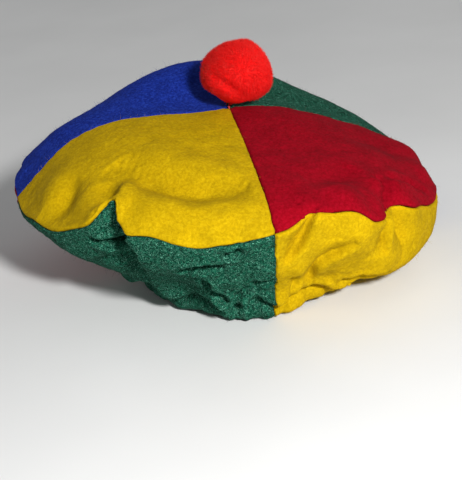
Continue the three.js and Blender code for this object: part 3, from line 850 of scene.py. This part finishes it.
def noise(material, scale, detail=3, roughness=0.5, distortion=0.0):
    """Noise with a scale in waves per metre."""
    place = node(material, "ShaderNodeTexCoord").outputs["Object"]
    return node(material, "ShaderNodeTexNoise", {
        "Vector": place, "Scale": scale, "Detail": detail, "Roughness": roughness,
        "Distortion": distortion}).outputs["Fac"]


def ramp(material, factor, stops):
    made = node(material, "ShaderNodeValToRGB", {"Fac": factor})
    elements = made.color_ramp.elements
    while len(elements) < len(stops):
        elements.new(0.5)
    for element, (at, colour) in zip(elements, stops):
        element.position = at
        element.color = colour
    return made.outputs["Color"]


def mix(material, factor, a, b, blend="MIX"):
    inputs = {0: factor, 6: a, 7: b}  # the mix node's sockets for colours have numbers only
    return node(material, "ShaderNodeMix", inputs, data_type="RGBA", blend_type=blend).outputs[2]


def shade(material, values, bumps=()):
    """Gives the material a shader with its values, and bumps of (height, strength, distance) in turn."""
    values = dict(values)
    for height, strength, distance in bumps:
        inputs = {"Height": height, "Strength": strength, "Distance": distance}
        if "Normal" in values:
            inputs["Normal"] = values["Normal"]
        values["Normal"] = node(material, "ShaderNodeBump", inputs).outputs["Normal"]
    shader = node(material, "ShaderNodeBsdfPrincipled", values)
    node(material, "ShaderNodeOutputMaterial", {"Surface": shader.outputs[0]})
    return material


def felt_material(name, tones, fleck_share, sheen):
    """Pressed felt: mottled wool in three tones, scattered lighter fibres, fuzz and a soft sheen."""
    material = new_material(name)
    deep, middle, bright, fleck = (linear(*tone) for tone in tones)
    patches = noise(material, 75, 2)
    mottle = noise(material, 560, 3, 0.6, 0.5)
    fibres = noise(material, 820, 5, 0.75, 2.2)
    tone = ramp(material, mottle, [(0.33, deep), (0.5, middle), (0.68, bright)])
    wide = ramp(material, patches, [(0.3, grey(0.86)), (0.7, grey(1.08))])
    colour = mix(material, 1.0, tone, wide, "MULTIPLY")
    start = 0.66 * (1 - fleck_share)
    flecks = ramp(material, fibres, [(start, grey(0)), (start + 0.1, grey(1))])
    return shade(material, {
        "Base Color": mix(material, flecks, colour, fleck),
        "Roughness": 0.93,
        "Specular IOR Level": 0.06,
        "Sheen Weight": sheen,
        "Sheen Roughness": 0.55,
        "Sheen Tint": bright,
    }, [(fibres, 0.5, 0.5 * MM), (mottle, 0.5, 0.6 * MM)])


# Each felt's deep, middle and bright tones and its lighter fibres, their share, and its sheen.
FELT_LOOKS = {
    "yellow": (((166, 134, 2), (181, 147, 3), (194, 161, 9), (220, 192, 40)), 0.05, 0.02),
    "crimson": (((122, 0, 14), (136, 2, 20), (148, 5, 27), (168, 24, 42)), 0.04, 0.01),
    "blue": (((13, 30, 106), (21, 43, 134), (34, 61, 160), (84, 108, 198)), 0.07, 0.06),
    "green": (((2, 30, 20), (8, 58, 42), (26, 92, 70), (120, 192, 166)), 0.16, 0.05),
}
FELTS = {colour: felt_material(f"{colour}_felt", *look) for colour, look in FELT_LOOKS.items()}


def thread_material(name, colour, bright, twist):
    """Spun thread: fine twisted ply, a little fuzz and a soft sheen."""
    material = new_material(name)
    place = node(material, "ShaderNodeTexCoord").outputs["Object"]
    ply = node(material, "ShaderNodeTexWave", {"Vector": place, "Scale": twist, "Distortion": 1.5,
                                               "Detail": 2, "Detail Scale": 2},
               bands_direction="DIAGONAL").outputs["Fac"]
    tone = ramp(material, ply, [(0.1, linear(*colour)), (0.8, linear(*bright))])
    fuzz = ramp(material, noise(material, 1900), [(0.3, grey(0.8)), (0.7, grey(1.05))])
    return shade(material, {
        "Base Color": mix(material, 1.0, tone, fuzz, "MULTIPLY"),
        "Roughness": 0.7,
        "Sheen Weight": 0.2,
    }, [(ply, 0.6, 0.1 * MM)])


def pile_material():
    """Acrylic pile: very saturated and lit through at its ends, with a little painted shade, scattered at
    random, that stands for the shade down between its fibres.
    """
    material = new_material("pompom_pile")
    tufts = noise(material, 260, 4, 0.6, 0.4)
    fibres = noise(material, 1100, 3, 0.7)
    tone = ramp(material, tufts, [(0.3, linear(255, 12, 11)), (0.55, linear(255, 22, 20)),
                                  (0.75, linear(255, 42, 36))])
    # painted shade: a random grey from 0.93 to 1.04 darkens the pile's colour, in place of the shade down
    # between the fibres
    depth = ramp(material, fibres, [(0.3, grey(0.93)), (0.7, grey(1.04))])
    return shade(material, {
        "Base Color": mix(material, 1.0, tone, depth, "MULTIPLY"),
        "Roughness": 0.85,
        "Specular IOR Level": 0.15,
        "Subsurface Weight": 0.6,
        "Subsurface Radius": (1.0, 0.15, 0.12),
        "Subsurface Scale": 6 * MM,
        "Sheen Weight": 0.7,
        "Sheen Roughness": 0.6,
        "Sheen Tint": linear(255, 30, 28),
    }, [(fibres, 0.5, 0.6 * MM)])


# Each thread's darker and brighter tone, and its twists in waves per metre.
THREAD_LOOKS = {
    "sewing_thread": ((196, 190, 176), (232, 228, 216), 2400),
    "pompom_thread": ((176, 8, 10), (232, 26, 22), 2400),
    "elastic_webbing": ((196, 194, 186), (236, 234, 228), 900),
}
THREADS = {name: thread_material(name, *look) for name, look in THREAD_LOOKS.items()}


# ---- pieces ----
def add_piece(name, points, faces, material, body="hat", replaced=None):
    """A new piece with its material, which rides on a body and may stand for a CAD node."""
    piece = new_object(name, new_mesh(name, points, faces))
    piece.data.materials.append(material)
    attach(piece, body)
    if replaced:
        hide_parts(replaced)
    return piece


def joined(parts):
    """One set of points and faces from several."""
    points, faces, start = [], [], 0
    for some, their_faces in parts:
        points.append(some)
        faces.append(their_faces + start)
        start += len(some)
    return np.concatenate(points), np.concatenate(faces)


def add_thread(name, parts, slot, body, replaced):
    points, faces = joined(parts)
    add_piece(name, points, faces, THREADS[slot], body, replaced)


STRAND_MIDDLE = 0.55  # where a fibre has its middle ring, as a part of its length
STRAND_MIDDLE_CURL = 0.3  # how far it has curled there, as a part of its curl at the tip
STRAND_MIDDLE_SIZE = 0.75  # its thickness there, as a part of its thickness at the root


def strands(roots, ways, length, radius, bend, random):
    """Tapered three-sided fibres that stand on roots and curl a little."""
    count = len(roots)
    side = unit(np.cross(ways, random.normal(size=(count, 3))))
    other = np.cross(ways, side)
    curl = unit(random.normal(size=(count, 3))) * bend
    middle = (roots + ways * (STRAND_MIDDLE * length)[:, None]
              + curl * (STRAND_MIDDLE_CURL * length)[:, None])
    tip = roots + ways * length[:, None] + curl * length[:, None]
    angle = TURN * np.arange(3) / 3
    ring = np.cos(angle)[:, None, None] * side + np.sin(angle)[:, None, None] * other
    low = roots + ring * radius
    high = middle + ring * (radius * STRAND_MIDDLE_SIZE)
    points = np.concatenate([low, high, tip[None]])  # layers of count points: 0-2, 3-5 and 6
    faces = [(0, 2, 1), (0, 1, 4), (0, 4, 3), (1, 2, 5), (1, 5, 4), (2, 0, 3), (2, 3, 5),
             (3, 4, 6), (4, 5, 6), (5, 3, 6)]
    index = np.arange(count)
    triangles = np.concatenate([np.stack([layer * count + index for layer in face], axis=-1)
                                for face in faces])
    return points.reshape(-1, 3), triangles


FUZZ_STRANDS = 1500
FUZZ_FROM = {"crown": 32, "underside": 8}  # the first row with fuzz: the pompom wears it off the crossing
FUZZ_END_ROWS = 12  # rows without fuzz at the other end
FUZZ_SPREAD = 0.9  # how far fibres lean away from upright
FUZZ_RISE = 0.15  # least slope of a fibre away from the felt
FUZZ_SHORTEST = 0.8  # in mm
FUZZ_LENGTHS = 1.1  # in mm, the spread of their lengths
FUZZ_LONGEST = 4.5 * MM
FUZZ_RADIUS = 0.05 * MM
FUZZ_BEND = 0.6
FUZZ_ROOT = 0.15 * MM  # how deep a fibre starts in the felt


def felt_fuzz(name, outer, colour, first_row, seed):
    """Loose fibres that stand off the felt, most of them short."""
    random = np.random.default_rng(seed)
    edge = ALLOWANCE_STEPS + 2
    rows = random.integers(first_row, len(outer) - FUZZ_END_ROWS, FUZZ_STRANDS)
    columns = random.integers(edge, outer.shape[1] - edge, FUZZ_STRANDS)
    normals = grid_normals(outer)[rows, columns]
    ways = unit(normals + FUZZ_SPREAD * random.normal(size=normals.shape))
    lack = np.clip(FUZZ_RISE - (ways * normals).sum(-1, keepdims=True), 0, None)
    ways = unit(ways + normals * lack * 2)
    length = (FUZZ_SHORTEST + FUZZ_LENGTHS * random.gamma(1.6, 0.7, FUZZ_STRANDS)) * MM
    roots = outer[rows, columns] - normals * FUZZ_ROOT
    points, faces = strands(roots, ways, np.clip(length, 0, FUZZ_LONGEST), FUZZ_RADIUS, FUZZ_BEND, random)
    points[:, 2] = np.maximum(points[:, 2], 0)  # fibres at the hem lie along the floor
    return add_piece(name, points, faces, FELTS[colour])


# What each kind of panel was cut to before sewing: (width, length), area, and how it is held.
CROWN_CUT = 175.0 * MM  # radius of the quarter disc, with its seam allowances
UNDERSIDE_CUT_WIDTH = 240.0 * MM  # along the rim
HEM_CUT_WIDTH = 190.0 * MM  # along the hem, before the elastic gathers it
UNDERSIDE_CUT_LENGTH = 130.0 * MM  # from the rim to the raw edge inside the casing
CUTS = {
    "crown": ((CROWN_CUT, CROWN_CUT), math.pi / 4 * CROWN_CUT**2, "draped"),
    "underside": ((UNDERSIDE_CUT_WIDTH, UNDERSIDE_CUT_LENGTH),
                  (UNDERSIDE_CUT_WIDTH + HEM_CUT_WIDTH) / 2 * UNDERSIDE_CUT_LENGTH, "gathered"),
}


PANEL_POINTS = {"crown": crown_panel_points, "underside": underside_panel_points}


def make_panel(part, place, quarter, colour):
    seed = 10 * quarter + len(part)
    outer = felt_relief(PANEL_POINTS[part](quarter * QUARTER), seed)
    points, faces = closed_sheet(outer, felt_thickness(*outer.shape[:2]))
    piece = add_piece(f"{part}_felt_{place}", points, faces, FELTS[colour],
                      replaced=f"{part}_panel_{place}")
    fuzz = felt_fuzz(f"{part}_fuzz_{place}", outer, colour, FUZZ_FROM[part], seed + 100)
    flat, area, held = CUTS[part]


def make_panels():
    for quarter, (place, crown_colour, underside_colour) in enumerate(QUARTERS):
        make_panel("crown", place, quarter, crown_colour)
        make_panel("underside", place, quarter, underside_colour)


# ---- threads ----
def closed_ring_faces(rows, columns):
    """Triangles over rows of rings, and over both ends to two points that follow the rings."""
    quads = grid_faces(rows, columns, True)
    j = np.arange(columns)
    k = (j + 1) % columns
    end = (rows - 1) * columns
    first_cap = np.stack([j, k, np.full(columns, end + columns)], axis=-1)
    last_cap = np.stack([end + k, end + j, np.full(columns, end + columns + 1)], axis=-1)
    return np.concatenate([quads[:, [0, 1, 2]], quads[:, [0, 2, 3]], first_cap, last_cap])


def tube(points, radius, sides=6):
    """Points and triangles of a closed tube along a line of points."""
    way = unit(np.gradient(points, axis=0))
    side = unit(np.cross(way[0], [0.31, 0.52, 0.79]))
    angle = TURN * np.arange(sides) / sides
    rings = []
    for point, forward in zip(points, way):
        side = unit(side - forward * (side @ forward))
        other = np.cross(forward, side)
        rings.append(point + radius * (np.cos(angle)[:, None] * side + np.sin(angle)[:, None] * other))
    ends = [points[0] - way[0] * radius * 0.5, points[-1] + way[-1] * radius * 0.5]
    return np.concatenate([*rings, ends]), closed_ring_faces(len(points), sides)[:, ::-1]


def distances(line):
    """How far along a line each of its points lies."""
    return np.concatenate([[0], np.cumsum(np.linalg.norm(np.diff(line, axis=0), axis=1))])


def between(spots, along, values):
    """The values of points along a line, at other spots along it."""
    return np.stack([np.interp(spots, along, values[:, k]) for k in range(3)], axis=1)


STITCH_LENGTH = 2.6 * MM
STITCH_STEP = 0.4 * MM
STITCH_SQUARENESS = 2.5  # how steeply the thread crosses the seam between two stitches
SEAM_THREAD = 0.22 * MM
STITCH_DEPTH = 3.0 * MM  # below the outside of the felt, where the two turned edges meet
STITCH_REACH = 1.5 * MM  # through both turned edges and out on each side
RIM_STITCH_INWARD = 6.2 * MM  # from the rim's corner
RING_STITCH_REACH = 1.2 * MM
RING_THREAD_GAP = 0.02  # radians from the back seam to each end of a thread that runs round
HEM_STITCH_INWARD = 3.8 * MM
HEM_STITCH_BELOW = 0.4 * MM  # under the top of the casing


def running_stitch(line, sideways, reach):
    """A thread that passes from one side of a line to the other and back, stitch by stitch."""
    along = distances(line)
    spots = np.arange(0, along[-1], STITCH_STEP)
    side = unit(between(spots, along, sideways))
    wave = np.tanh(STITCH_SQUARENESS * np.sin(np.pi * spots / STITCH_LENGTH)) * reach
    return tube(between(spots, along, line) + side * wave[:, None], SEAM_THREAD, 5)


def seam_line(grid, first_row, last_row, seam):
    rows = np.linspace(first_row, last_row, 80)
    bearing = np.full(len(rows), seam)
    line = sample(grid, rows, bearing)
    across = unit(sample(grid, rows, bearing + SMALL_TURN) - line)
    normal = unit(np.cross(np.gradient(line, axis=0), across))
    return line - normal * STITCH_DEPTH, across


# Which rows the radial stitches run between.
STITCHED_ROWS = {
    "crown": (CROWN_GRID, 2 * FINER, RIM_ROW - 3 * FINER),
    "underside": (UNDERSIDE_GRID, 2.5 * FINER, HEM_ROW),
}


def make_stitches():
    for place, seam in (("front", 0), ("left", QUARTER), ("back", 2 * QUARTER), ("right", -QUARTER)):
        for part, rows in STITCHED_ROWS.items():
            line, across = seam_line(*rows, seam)
            add_thread(f"{part}_stitches_{place}", [running_stitch(line, across, STITCH_REACH)],
                       "sewing_thread", "hat", f"{part}_seam_thread_{place}")
    bearing = np.linspace(-np.pi + RING_THREAD_GAP, np.pi - RING_THREAD_GAP, 700)
    corner, to_crown, _, inward = rim_frame(bearing)
    side = unit(to_crown - inward * (to_crown * inward).sum(-1, keepdims=True))
    rim_line = corner + inward * RIM_STITCH_INWARD
    add_thread("rim_stitches", [running_stitch(rim_line, side, RING_STITCH_REACH)],
               "sewing_thread", "hat", "rim_seam_thread")
    hem_line = hem(bearing, HEM_STITCH_INWARD, CASING_TOP - HEM_STITCH_BELOW)
    add_thread("hem_stitches", [running_stitch(hem_line, hem_inward(bearing), RING_STITCH_REACH)],
               "sewing_thread", "hat", "hem_casing_stitch")


# ---- elastic in the casing ----
ELASTIC_LOW, ELASTIC_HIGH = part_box("hem_elastic")
ELASTIC_THICKNESS = 1.0 * MM
ELASTIC_FIRST_INSET = 3.75 * MM
ELASTIC_SPIRAL = 1.4 * MM  # how far its second layer lies inside its first
ELASTIC_OVERLAP = 0.16  # radians
ELASTIC_START = 0.9 * math.pi
ELASTIC_RIBS = 9
ELASTIC_POINTS = 620  # round the hem
ELASTIC_POINTS_UP = 46


def make_elastic():
    """A ribbed webbing that runs once round and laps its own end."""
    turn = np.linspace(0, TURN + ELASTIC_OVERLAP, ELASTIC_POINTS)
    bearing = (ELASTIC_START + turn + np.pi) % TURN - np.pi
    height = ELASTIC_HIGH.z - ELASTIC_LOW.z
    up = np.linspace(0, 1, ELASTIC_POINTS_UP)
    half = ELASTIC_THICKNESS / 2 * (0.72 + 0.28 * np.abs(np.sin(np.pi * ELASTIC_RIBS * up)))
    around = [*zip(-half, up), *zip(half[::-1], up[::-1])]
    columns = []
    for out, part in around:
        inset = ELASTIC_FIRST_INSET + ELASTIC_SPIRAL * turn / TURN + out
        columns.append(hem(bearing, inset, ELASTIC_LOW.z + part * height))
    points = np.stack(columns, axis=1)
    rows, count = points.shape[:2]
    sides = grid_faces(rows, count, True)[:, [0, 3, 2, 1]]
    k = np.arange(count // 2 - 1)
    first = np.stack([k + 1, k, count - 1 - k, count - 2 - k], axis=-1)
    last = first[:, ::-1] + (rows - 1) * count
    faces = np.concatenate([sides, first, last])
    add_thread("elastic_webbing", [(points.reshape(-1, 3), faces)], "elastic_webbing", "hat", "hem_elastic")


# ---- pompom ----
PILE_HEIGHT = 23.6 * MM  # of the pile's middle: it slumps a little on its thread
POMPOM_CORE = 22.2 * MM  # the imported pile, under its loose ends
UNDERSIDE_SLOPE = math.tan(math.radians(27))
SOFT_EDGE = 3.0 * MM  # how softly the ball rounds into its hollowed underside
# Lumps of the pile: (bearing, elevation and width in degrees, how far it stands out in mm).
LUMPS = [
    (-33, -30, 30, 2.0), (-70, 48, 38, -2.4), (64, 16, 26, -1.0), (62, -12, 30, 2.6),
    (20, 62, 30, 0.4), (15, 10, 40, 1.0), (-14, -48, 24, 3.0), (120, 20, 34, 1.4),
    (160, -10, 30, -1.6), (-150, 15, 36, 1.2), (-105, -22, 28, 1.2), (100, -35, 26, -1.2),
    (-160, 60, 30, -1.0),
]
POMPOM_CREASE = [(-52, 14), (-36, 6), (-19, -6), (-2, -21), (16, -37)]  # (bearing, elevation)
CREASE_POINTS = 40
CREASE_DEPTH = 3.4 * MM
CREASE_WIDTH = 8.0  # degrees
TUFT_HEIGHT = 0.35 * MM
TUFT_WAVELENGTH = 13 * MM
CORE_COLUMNS = 112
CORE_ROWS = 64
CORE_TOP = 0.02  # radians from the axis to the first ring
BORE_RADIUS = 2.4 * MM
# The hollow inside, from the foot of the bore up to the tie: (radius, height) in mm, from the middle.
HOLLOW = [(2.4, -19.0), (2.4, -5.4), (6.0, -3.2), (6.0, 0.0), (6.0, 3.0), (0.3, 3.2)]


def direction(bearing, elevation):
    b, e = np.radians(bearing), np.radians(elevation)
    return stack(np.sin(b) * np.cos(e), -np.cos(b) * np.cos(e), np.sin(e))


def pompom_radius(ways):
    """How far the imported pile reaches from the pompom's middle, each way."""
    radius = np.full(ways.shape[:-1], POMPOM_CORE)
    for bearing, elevation, width, size in LUMPS:
        angle = np.degrees(np.arccos(np.clip(ways @ direction(bearing, elevation), -1, 1)))
        radius = radius + size * MM * np.exp(-((angle / width) ** 2))
    spots = np.linspace(0, len(POMPOM_CREASE) - 1, CREASE_POINTS)
    line = curve_through(np.array(POMPOM_CREASE, float), spots)
    crease = direction(line[:, 0], line[:, 1])
    angle = np.degrees(np.arccos(np.clip(ways @ crease.T, -1, 1)))
    taper = np.sin(np.linspace(0, np.pi, CREASE_POINTS)) ** 0.5
    depth = (np.exp(-((angle / CREASE_WIDTH) ** 2)) * taper).max(-1)
    radius = radius - CREASE_DEPTH * depth
    radius = radius + TUFT_HEIGHT * smooth_noise(ways * POMPOM_CORE, TUFT_WAVELENGTH, 5)
    down = -(ways @ POMPOM_AXIS)
    outward = np.sqrt(np.clip(1 - down**2, 0, 1))
    to_cone = PILE_HEIGHT / np.clip(down + UNDERSIDE_SLOPE * outward, 1e-3, None)
    limit = np.where(down + UNDERSIDE_SLOPE * outward > 0, np.minimum(to_cone, 1.0), 1.0)
    return -SOFT_EDGE * np.log(np.exp(-radius / SOFT_EDGE) + np.exp(-limit / SOFT_EDGE))


def pompom_axes():
    side = unit(np.cross([0, 1, 0], POMPOM_AXIS))
    return side, np.cross(POMPOM_AXIS, side)


def pompom_core():
    """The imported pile: a lumpy ball with the bore and the hollow where the yarn is tied."""
    side, other = pompom_axes()
    around = TURN * np.arange(CORE_COLUMNS) / CORE_COLUMNS
    ring = np.cos(around)[:, None] * side + np.sin(around)[:, None] * other
    polar = np.linspace(CORE_TOP, np.pi - math.asin(BORE_RADIUS / POMPOM_CORE), CORE_ROWS)
    ways = np.cos(polar)[:, None, None] * POMPOM_AXIS + np.sin(polar)[:, None, None] * ring
    centre = CROSSING + POMPOM_AXIS * PILE_HEIGHT
    outside = centre + ways * pompom_radius(ways)[..., None]
    inside = [centre + POMPOM_AXIS * height * MM + ring * radius * MM for radius, height in HOLLOW]
    points = np.concatenate([outside, np.stack(inside)])
    ends = np.stack([points[0].mean(0), points[-1].mean(0)])
    return np.concatenate([points.reshape(-1, 3), ends]), closed_ring_faces(*points.shape[:2])


PILE_STRANDS = 22000
PILE_LEAN = 0.24  # how far fibres lean away from upright
PILE_LENGTHS = (1.9, 3.1)  # in mm
PILE_RADIUS = 0.24 * MM
PILE_BEND = 0.25
PILE_ROOT = 0.6 * MM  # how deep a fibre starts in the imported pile
PILE_CLEARANCE = 0.6 * MM  # above the cone that the underside follows


def pompom_pile(random):
    """The loose ends of the pile, cut to a soft ball."""
    ways = unit(random.normal(size=(PILE_STRANDS, 3)))
    reach = pompom_radius(ways)
    centre = CROSSING + POMPOM_AXIS * PILE_HEIGHT
    roots = centre + ways * (reach - PILE_ROOT)[:, None]
    lean = unit(ways + PILE_LEAN * random.normal(size=ways.shape))
    length = random.uniform(*PILE_LENGTHS, PILE_STRANDS) * MM
    tips = roots + lean * length[:, None] - CROSSING
    height = tips @ POMPOM_AXIS
    outward = np.linalg.norm(tips - height[:, None] * POMPOM_AXIS, axis=1)
    clear = height > UNDERSIDE_SLOPE * outward + PILE_CLEARANCE
    return strands(roots[clear], lean[clear], length[clear], PILE_RADIUS, PILE_BEND, random)


def make_pompom():
    random = np.random.default_rng(21)
    points, faces = joined([pompom_core(), pompom_pile(random)])
    piece = add_piece("pompom_pile", points, faces, pile_material(), "pompom", "pompom_ball")


def helix(turns, radius, low, high, start, steps):
    """Points of a helix about the Z axis."""
    part = np.linspace(0, 1, steps)
    angle = start + TURN * turns * part
    return stack(radius * np.cos(angle), radius * np.sin(angle), low + (high - low) * part)


def leaning(points):
    """Points drawn about an upright axis, put on the pompom's axis at the crossing."""
    side, other = pompom_axes()
    return CROSSING + points @ np.stack([side, other, POMPOM_AXIS])


def finish_join_stitch():
    """The stitch through the elastic's two ends keeps its shape from the frame."""
    for slot in frame["nodes"]["elastic_join_stitch"].material_slots:
        slot.material = THREADS["sewing_thread"]


PLY_OFFSET = 0.4 * MM  # from the middle of a two-ply thread to the middle of each ply
PLY_ANGLES = (0, math.pi)
SHANK_PLY = 0.38 * MM  # radii of the threads
TIE_PLY = 0.36 * MM
WINDING_THREAD = 0.42 * MM
KNOT_THREAD = 0.62 * MM
KNOT_TAIL_THREAD = 0.3 * MM
WINDING_RADIUS = 4.1 * MM
SPOKE = [(0.4, 22.5), (2.4, 23.4), (4.1, 23.8)]  # (radius, height) in mm, from the stem out to the winding
KNOT_DEPTH = 4.8 * MM  # of its middle, below the crossing
KNOT_SIZE = 0.5 * MM
KNOT_TAIL = np.array([(1.0, 0.4, -1.0), (1.9, 0.6, -1.9), (2.2, 1.2, -2.9), (1.8, 1.5, -3.8)]) * MM


def make_shank():
    """Two plies twisted together, from the crossing down to the knot."""
    plies = []
    for start in PLY_ANGLES:
        line = helix(turns=1.5, radius=PLY_OFFSET, low=-2.3 * MM, high=0.5 * MM, start=start, steps=30)
        plies.append(tube(CROSSING + line, SHANK_PLY))
    add_thread("pompom_shank", plies, "pompom_thread", "pompom_neck", "pompom_thread_shank")


def make_tie():
    """The twisted stem up into the pompom, two spokes, and the winding round the pile's middle."""
    stem, spokes = [], []
    for start in PLY_ANGLES:
        line = helix(turns=9, radius=PLY_OFFSET, low=1.3 * MM, high=22.6 * MM, start=start, steps=160)
        stem.append(tube(leaning(line), TIE_PLY))
        spoke = np.array([(radius * math.cos(start), radius * math.sin(start), height)
                          for radius, height in SPOKE])
        spokes.append(tube(leaning(spoke * MM), TIE_PLY))
    line = helix(turns=4, radius=WINDING_RADIUS, low=23.6 * MM, high=26.4 * MM, start=0, steps=130)
    parts = [*stem, tube(leaning(line), WINDING_THREAD), *spokes]
    add_thread("pompom_tie", parts, "pompom_thread", "pompom_tie", "pompom_tie_thread")


def make_knot():
    """A trefoil drawn small, with its cut tail."""
    t = np.linspace(0, TURN, 90)
    trefoil = stack(np.sin(t) + 2 * np.sin(2 * t), np.cos(t) - 2 * np.cos(2 * t), -1.4 * np.sin(3 * t))
    place = CROSSING - np.array([0, 0, KNOT_DEPTH])
    knot = [tube(place + trefoil * KNOT_SIZE, KNOT_THREAD, 8), tube(place + KNOT_TAIL, KNOT_TAIL_THREAD)]
    add_thread("pompom_knot", knot, "sewing_thread", "hat", "pompom_anchor_knot")


make_panels()
make_stitches()
make_elastic()
make_pompom()
make_shank()
make_tie()
make_knot()
finish_join_stitch()


# ---- camera, floor and light ----
def make_camera():
    """The viewing angle: a little to one side, from above, and tilted."""
    azimuth, elevation, roll = (math.radians(a) for a in (-7.0, 23.2, -6.2))
    distance = 0.935
    target = Vector((-9.5 * MM, 8.7 * MM, 11.6 * MM))
    back = Vector((math.sin(azimuth) * math.cos(elevation),
                   -math.cos(azimuth) * math.cos(elevation), math.sin(elevation)))
    level = Vector((math.cos(azimuth), math.sin(azimuth), 0))
    up = back.cross(level)
    right = level * math.cos(roll) + up * math.sin(roll)
    above = up * math.cos(roll) - level * math.sin(roll)
    data = bpy.data.cameras.new("camera")
    data.sensor_width = 36
    data.lens = 99.2
    camera = new_object("camera", data)
    camera.matrix_world = (Matrix.Translation(target + back * distance)
                           @ Matrix((right, above, back)).transposed().to_4x4())
    bpy.context.scene.camera = camera


FLOOR_HALF = 6.0
FLOOR_HEIGHT = -0.6 * MM


def make_floor():
    material = new_material("floor")
    pale = [(0.3, (0.72, 0.72, 0.71, 1)), (0.7, (0.76, 0.76, 0.75, 1))]
    colour = ramp(material, noise(material, 6), pale)
    shade(material, {"Base Color": colour, "Roughness": 1.0, "Specular IOR Level": 0.0})
    corners = [(x * FLOOR_HALF, y * FLOOR_HALF, FLOOR_HEIGHT)
               for x, y in ((-1, -1), (1, -1), (1, 1), (-1, 1))]
    floor = new_object("floor", new_mesh("floor", corners, [[0, 1, 2, 3]]))
    floor.data.materials.append(material)


LIGHT_AIM = (0, 0, 0.07)
# Each light's place, size and power.
LIGHTS = {
    "key": ((0.16, -1.0, 0.60), 0.11, 17.8),
    "fill": ((-1.1, -0.7, 0.5), 0.9, 0.3),
    "back_left": ((1.0, 1.0, 0.7), 1.0, 4),
    "back_right": ((-1.0, 1.1, 0.6), 1.0, 4),
}


def make_lights():
    for name, (place, size, power) in LIGHTS.items():
        data = bpy.data.lights.new(name, "AREA")
        data.size = size
        data.energy = power
        light = new_object(name, data)
        light.location = place
        light.rotation_euler = (Vector(LIGHT_AIM) - Vector(place)).to_track_quat("-Z", "Y").to_euler()
    world = bpy.data.worlds.new("studio")
    world.use_nodes = True
    background = world.node_tree.nodes["Background"]
    background.inputs["Color"].default_value = (0.9, 0.92, 0.95, 1)
    background.inputs["Strength"].default_value = 0.17
    bpy.context.scene.world = world
    bpy.context.scene.view_settings.view_transform = "Standard"


make_camera()
make_floor()
make_lights()
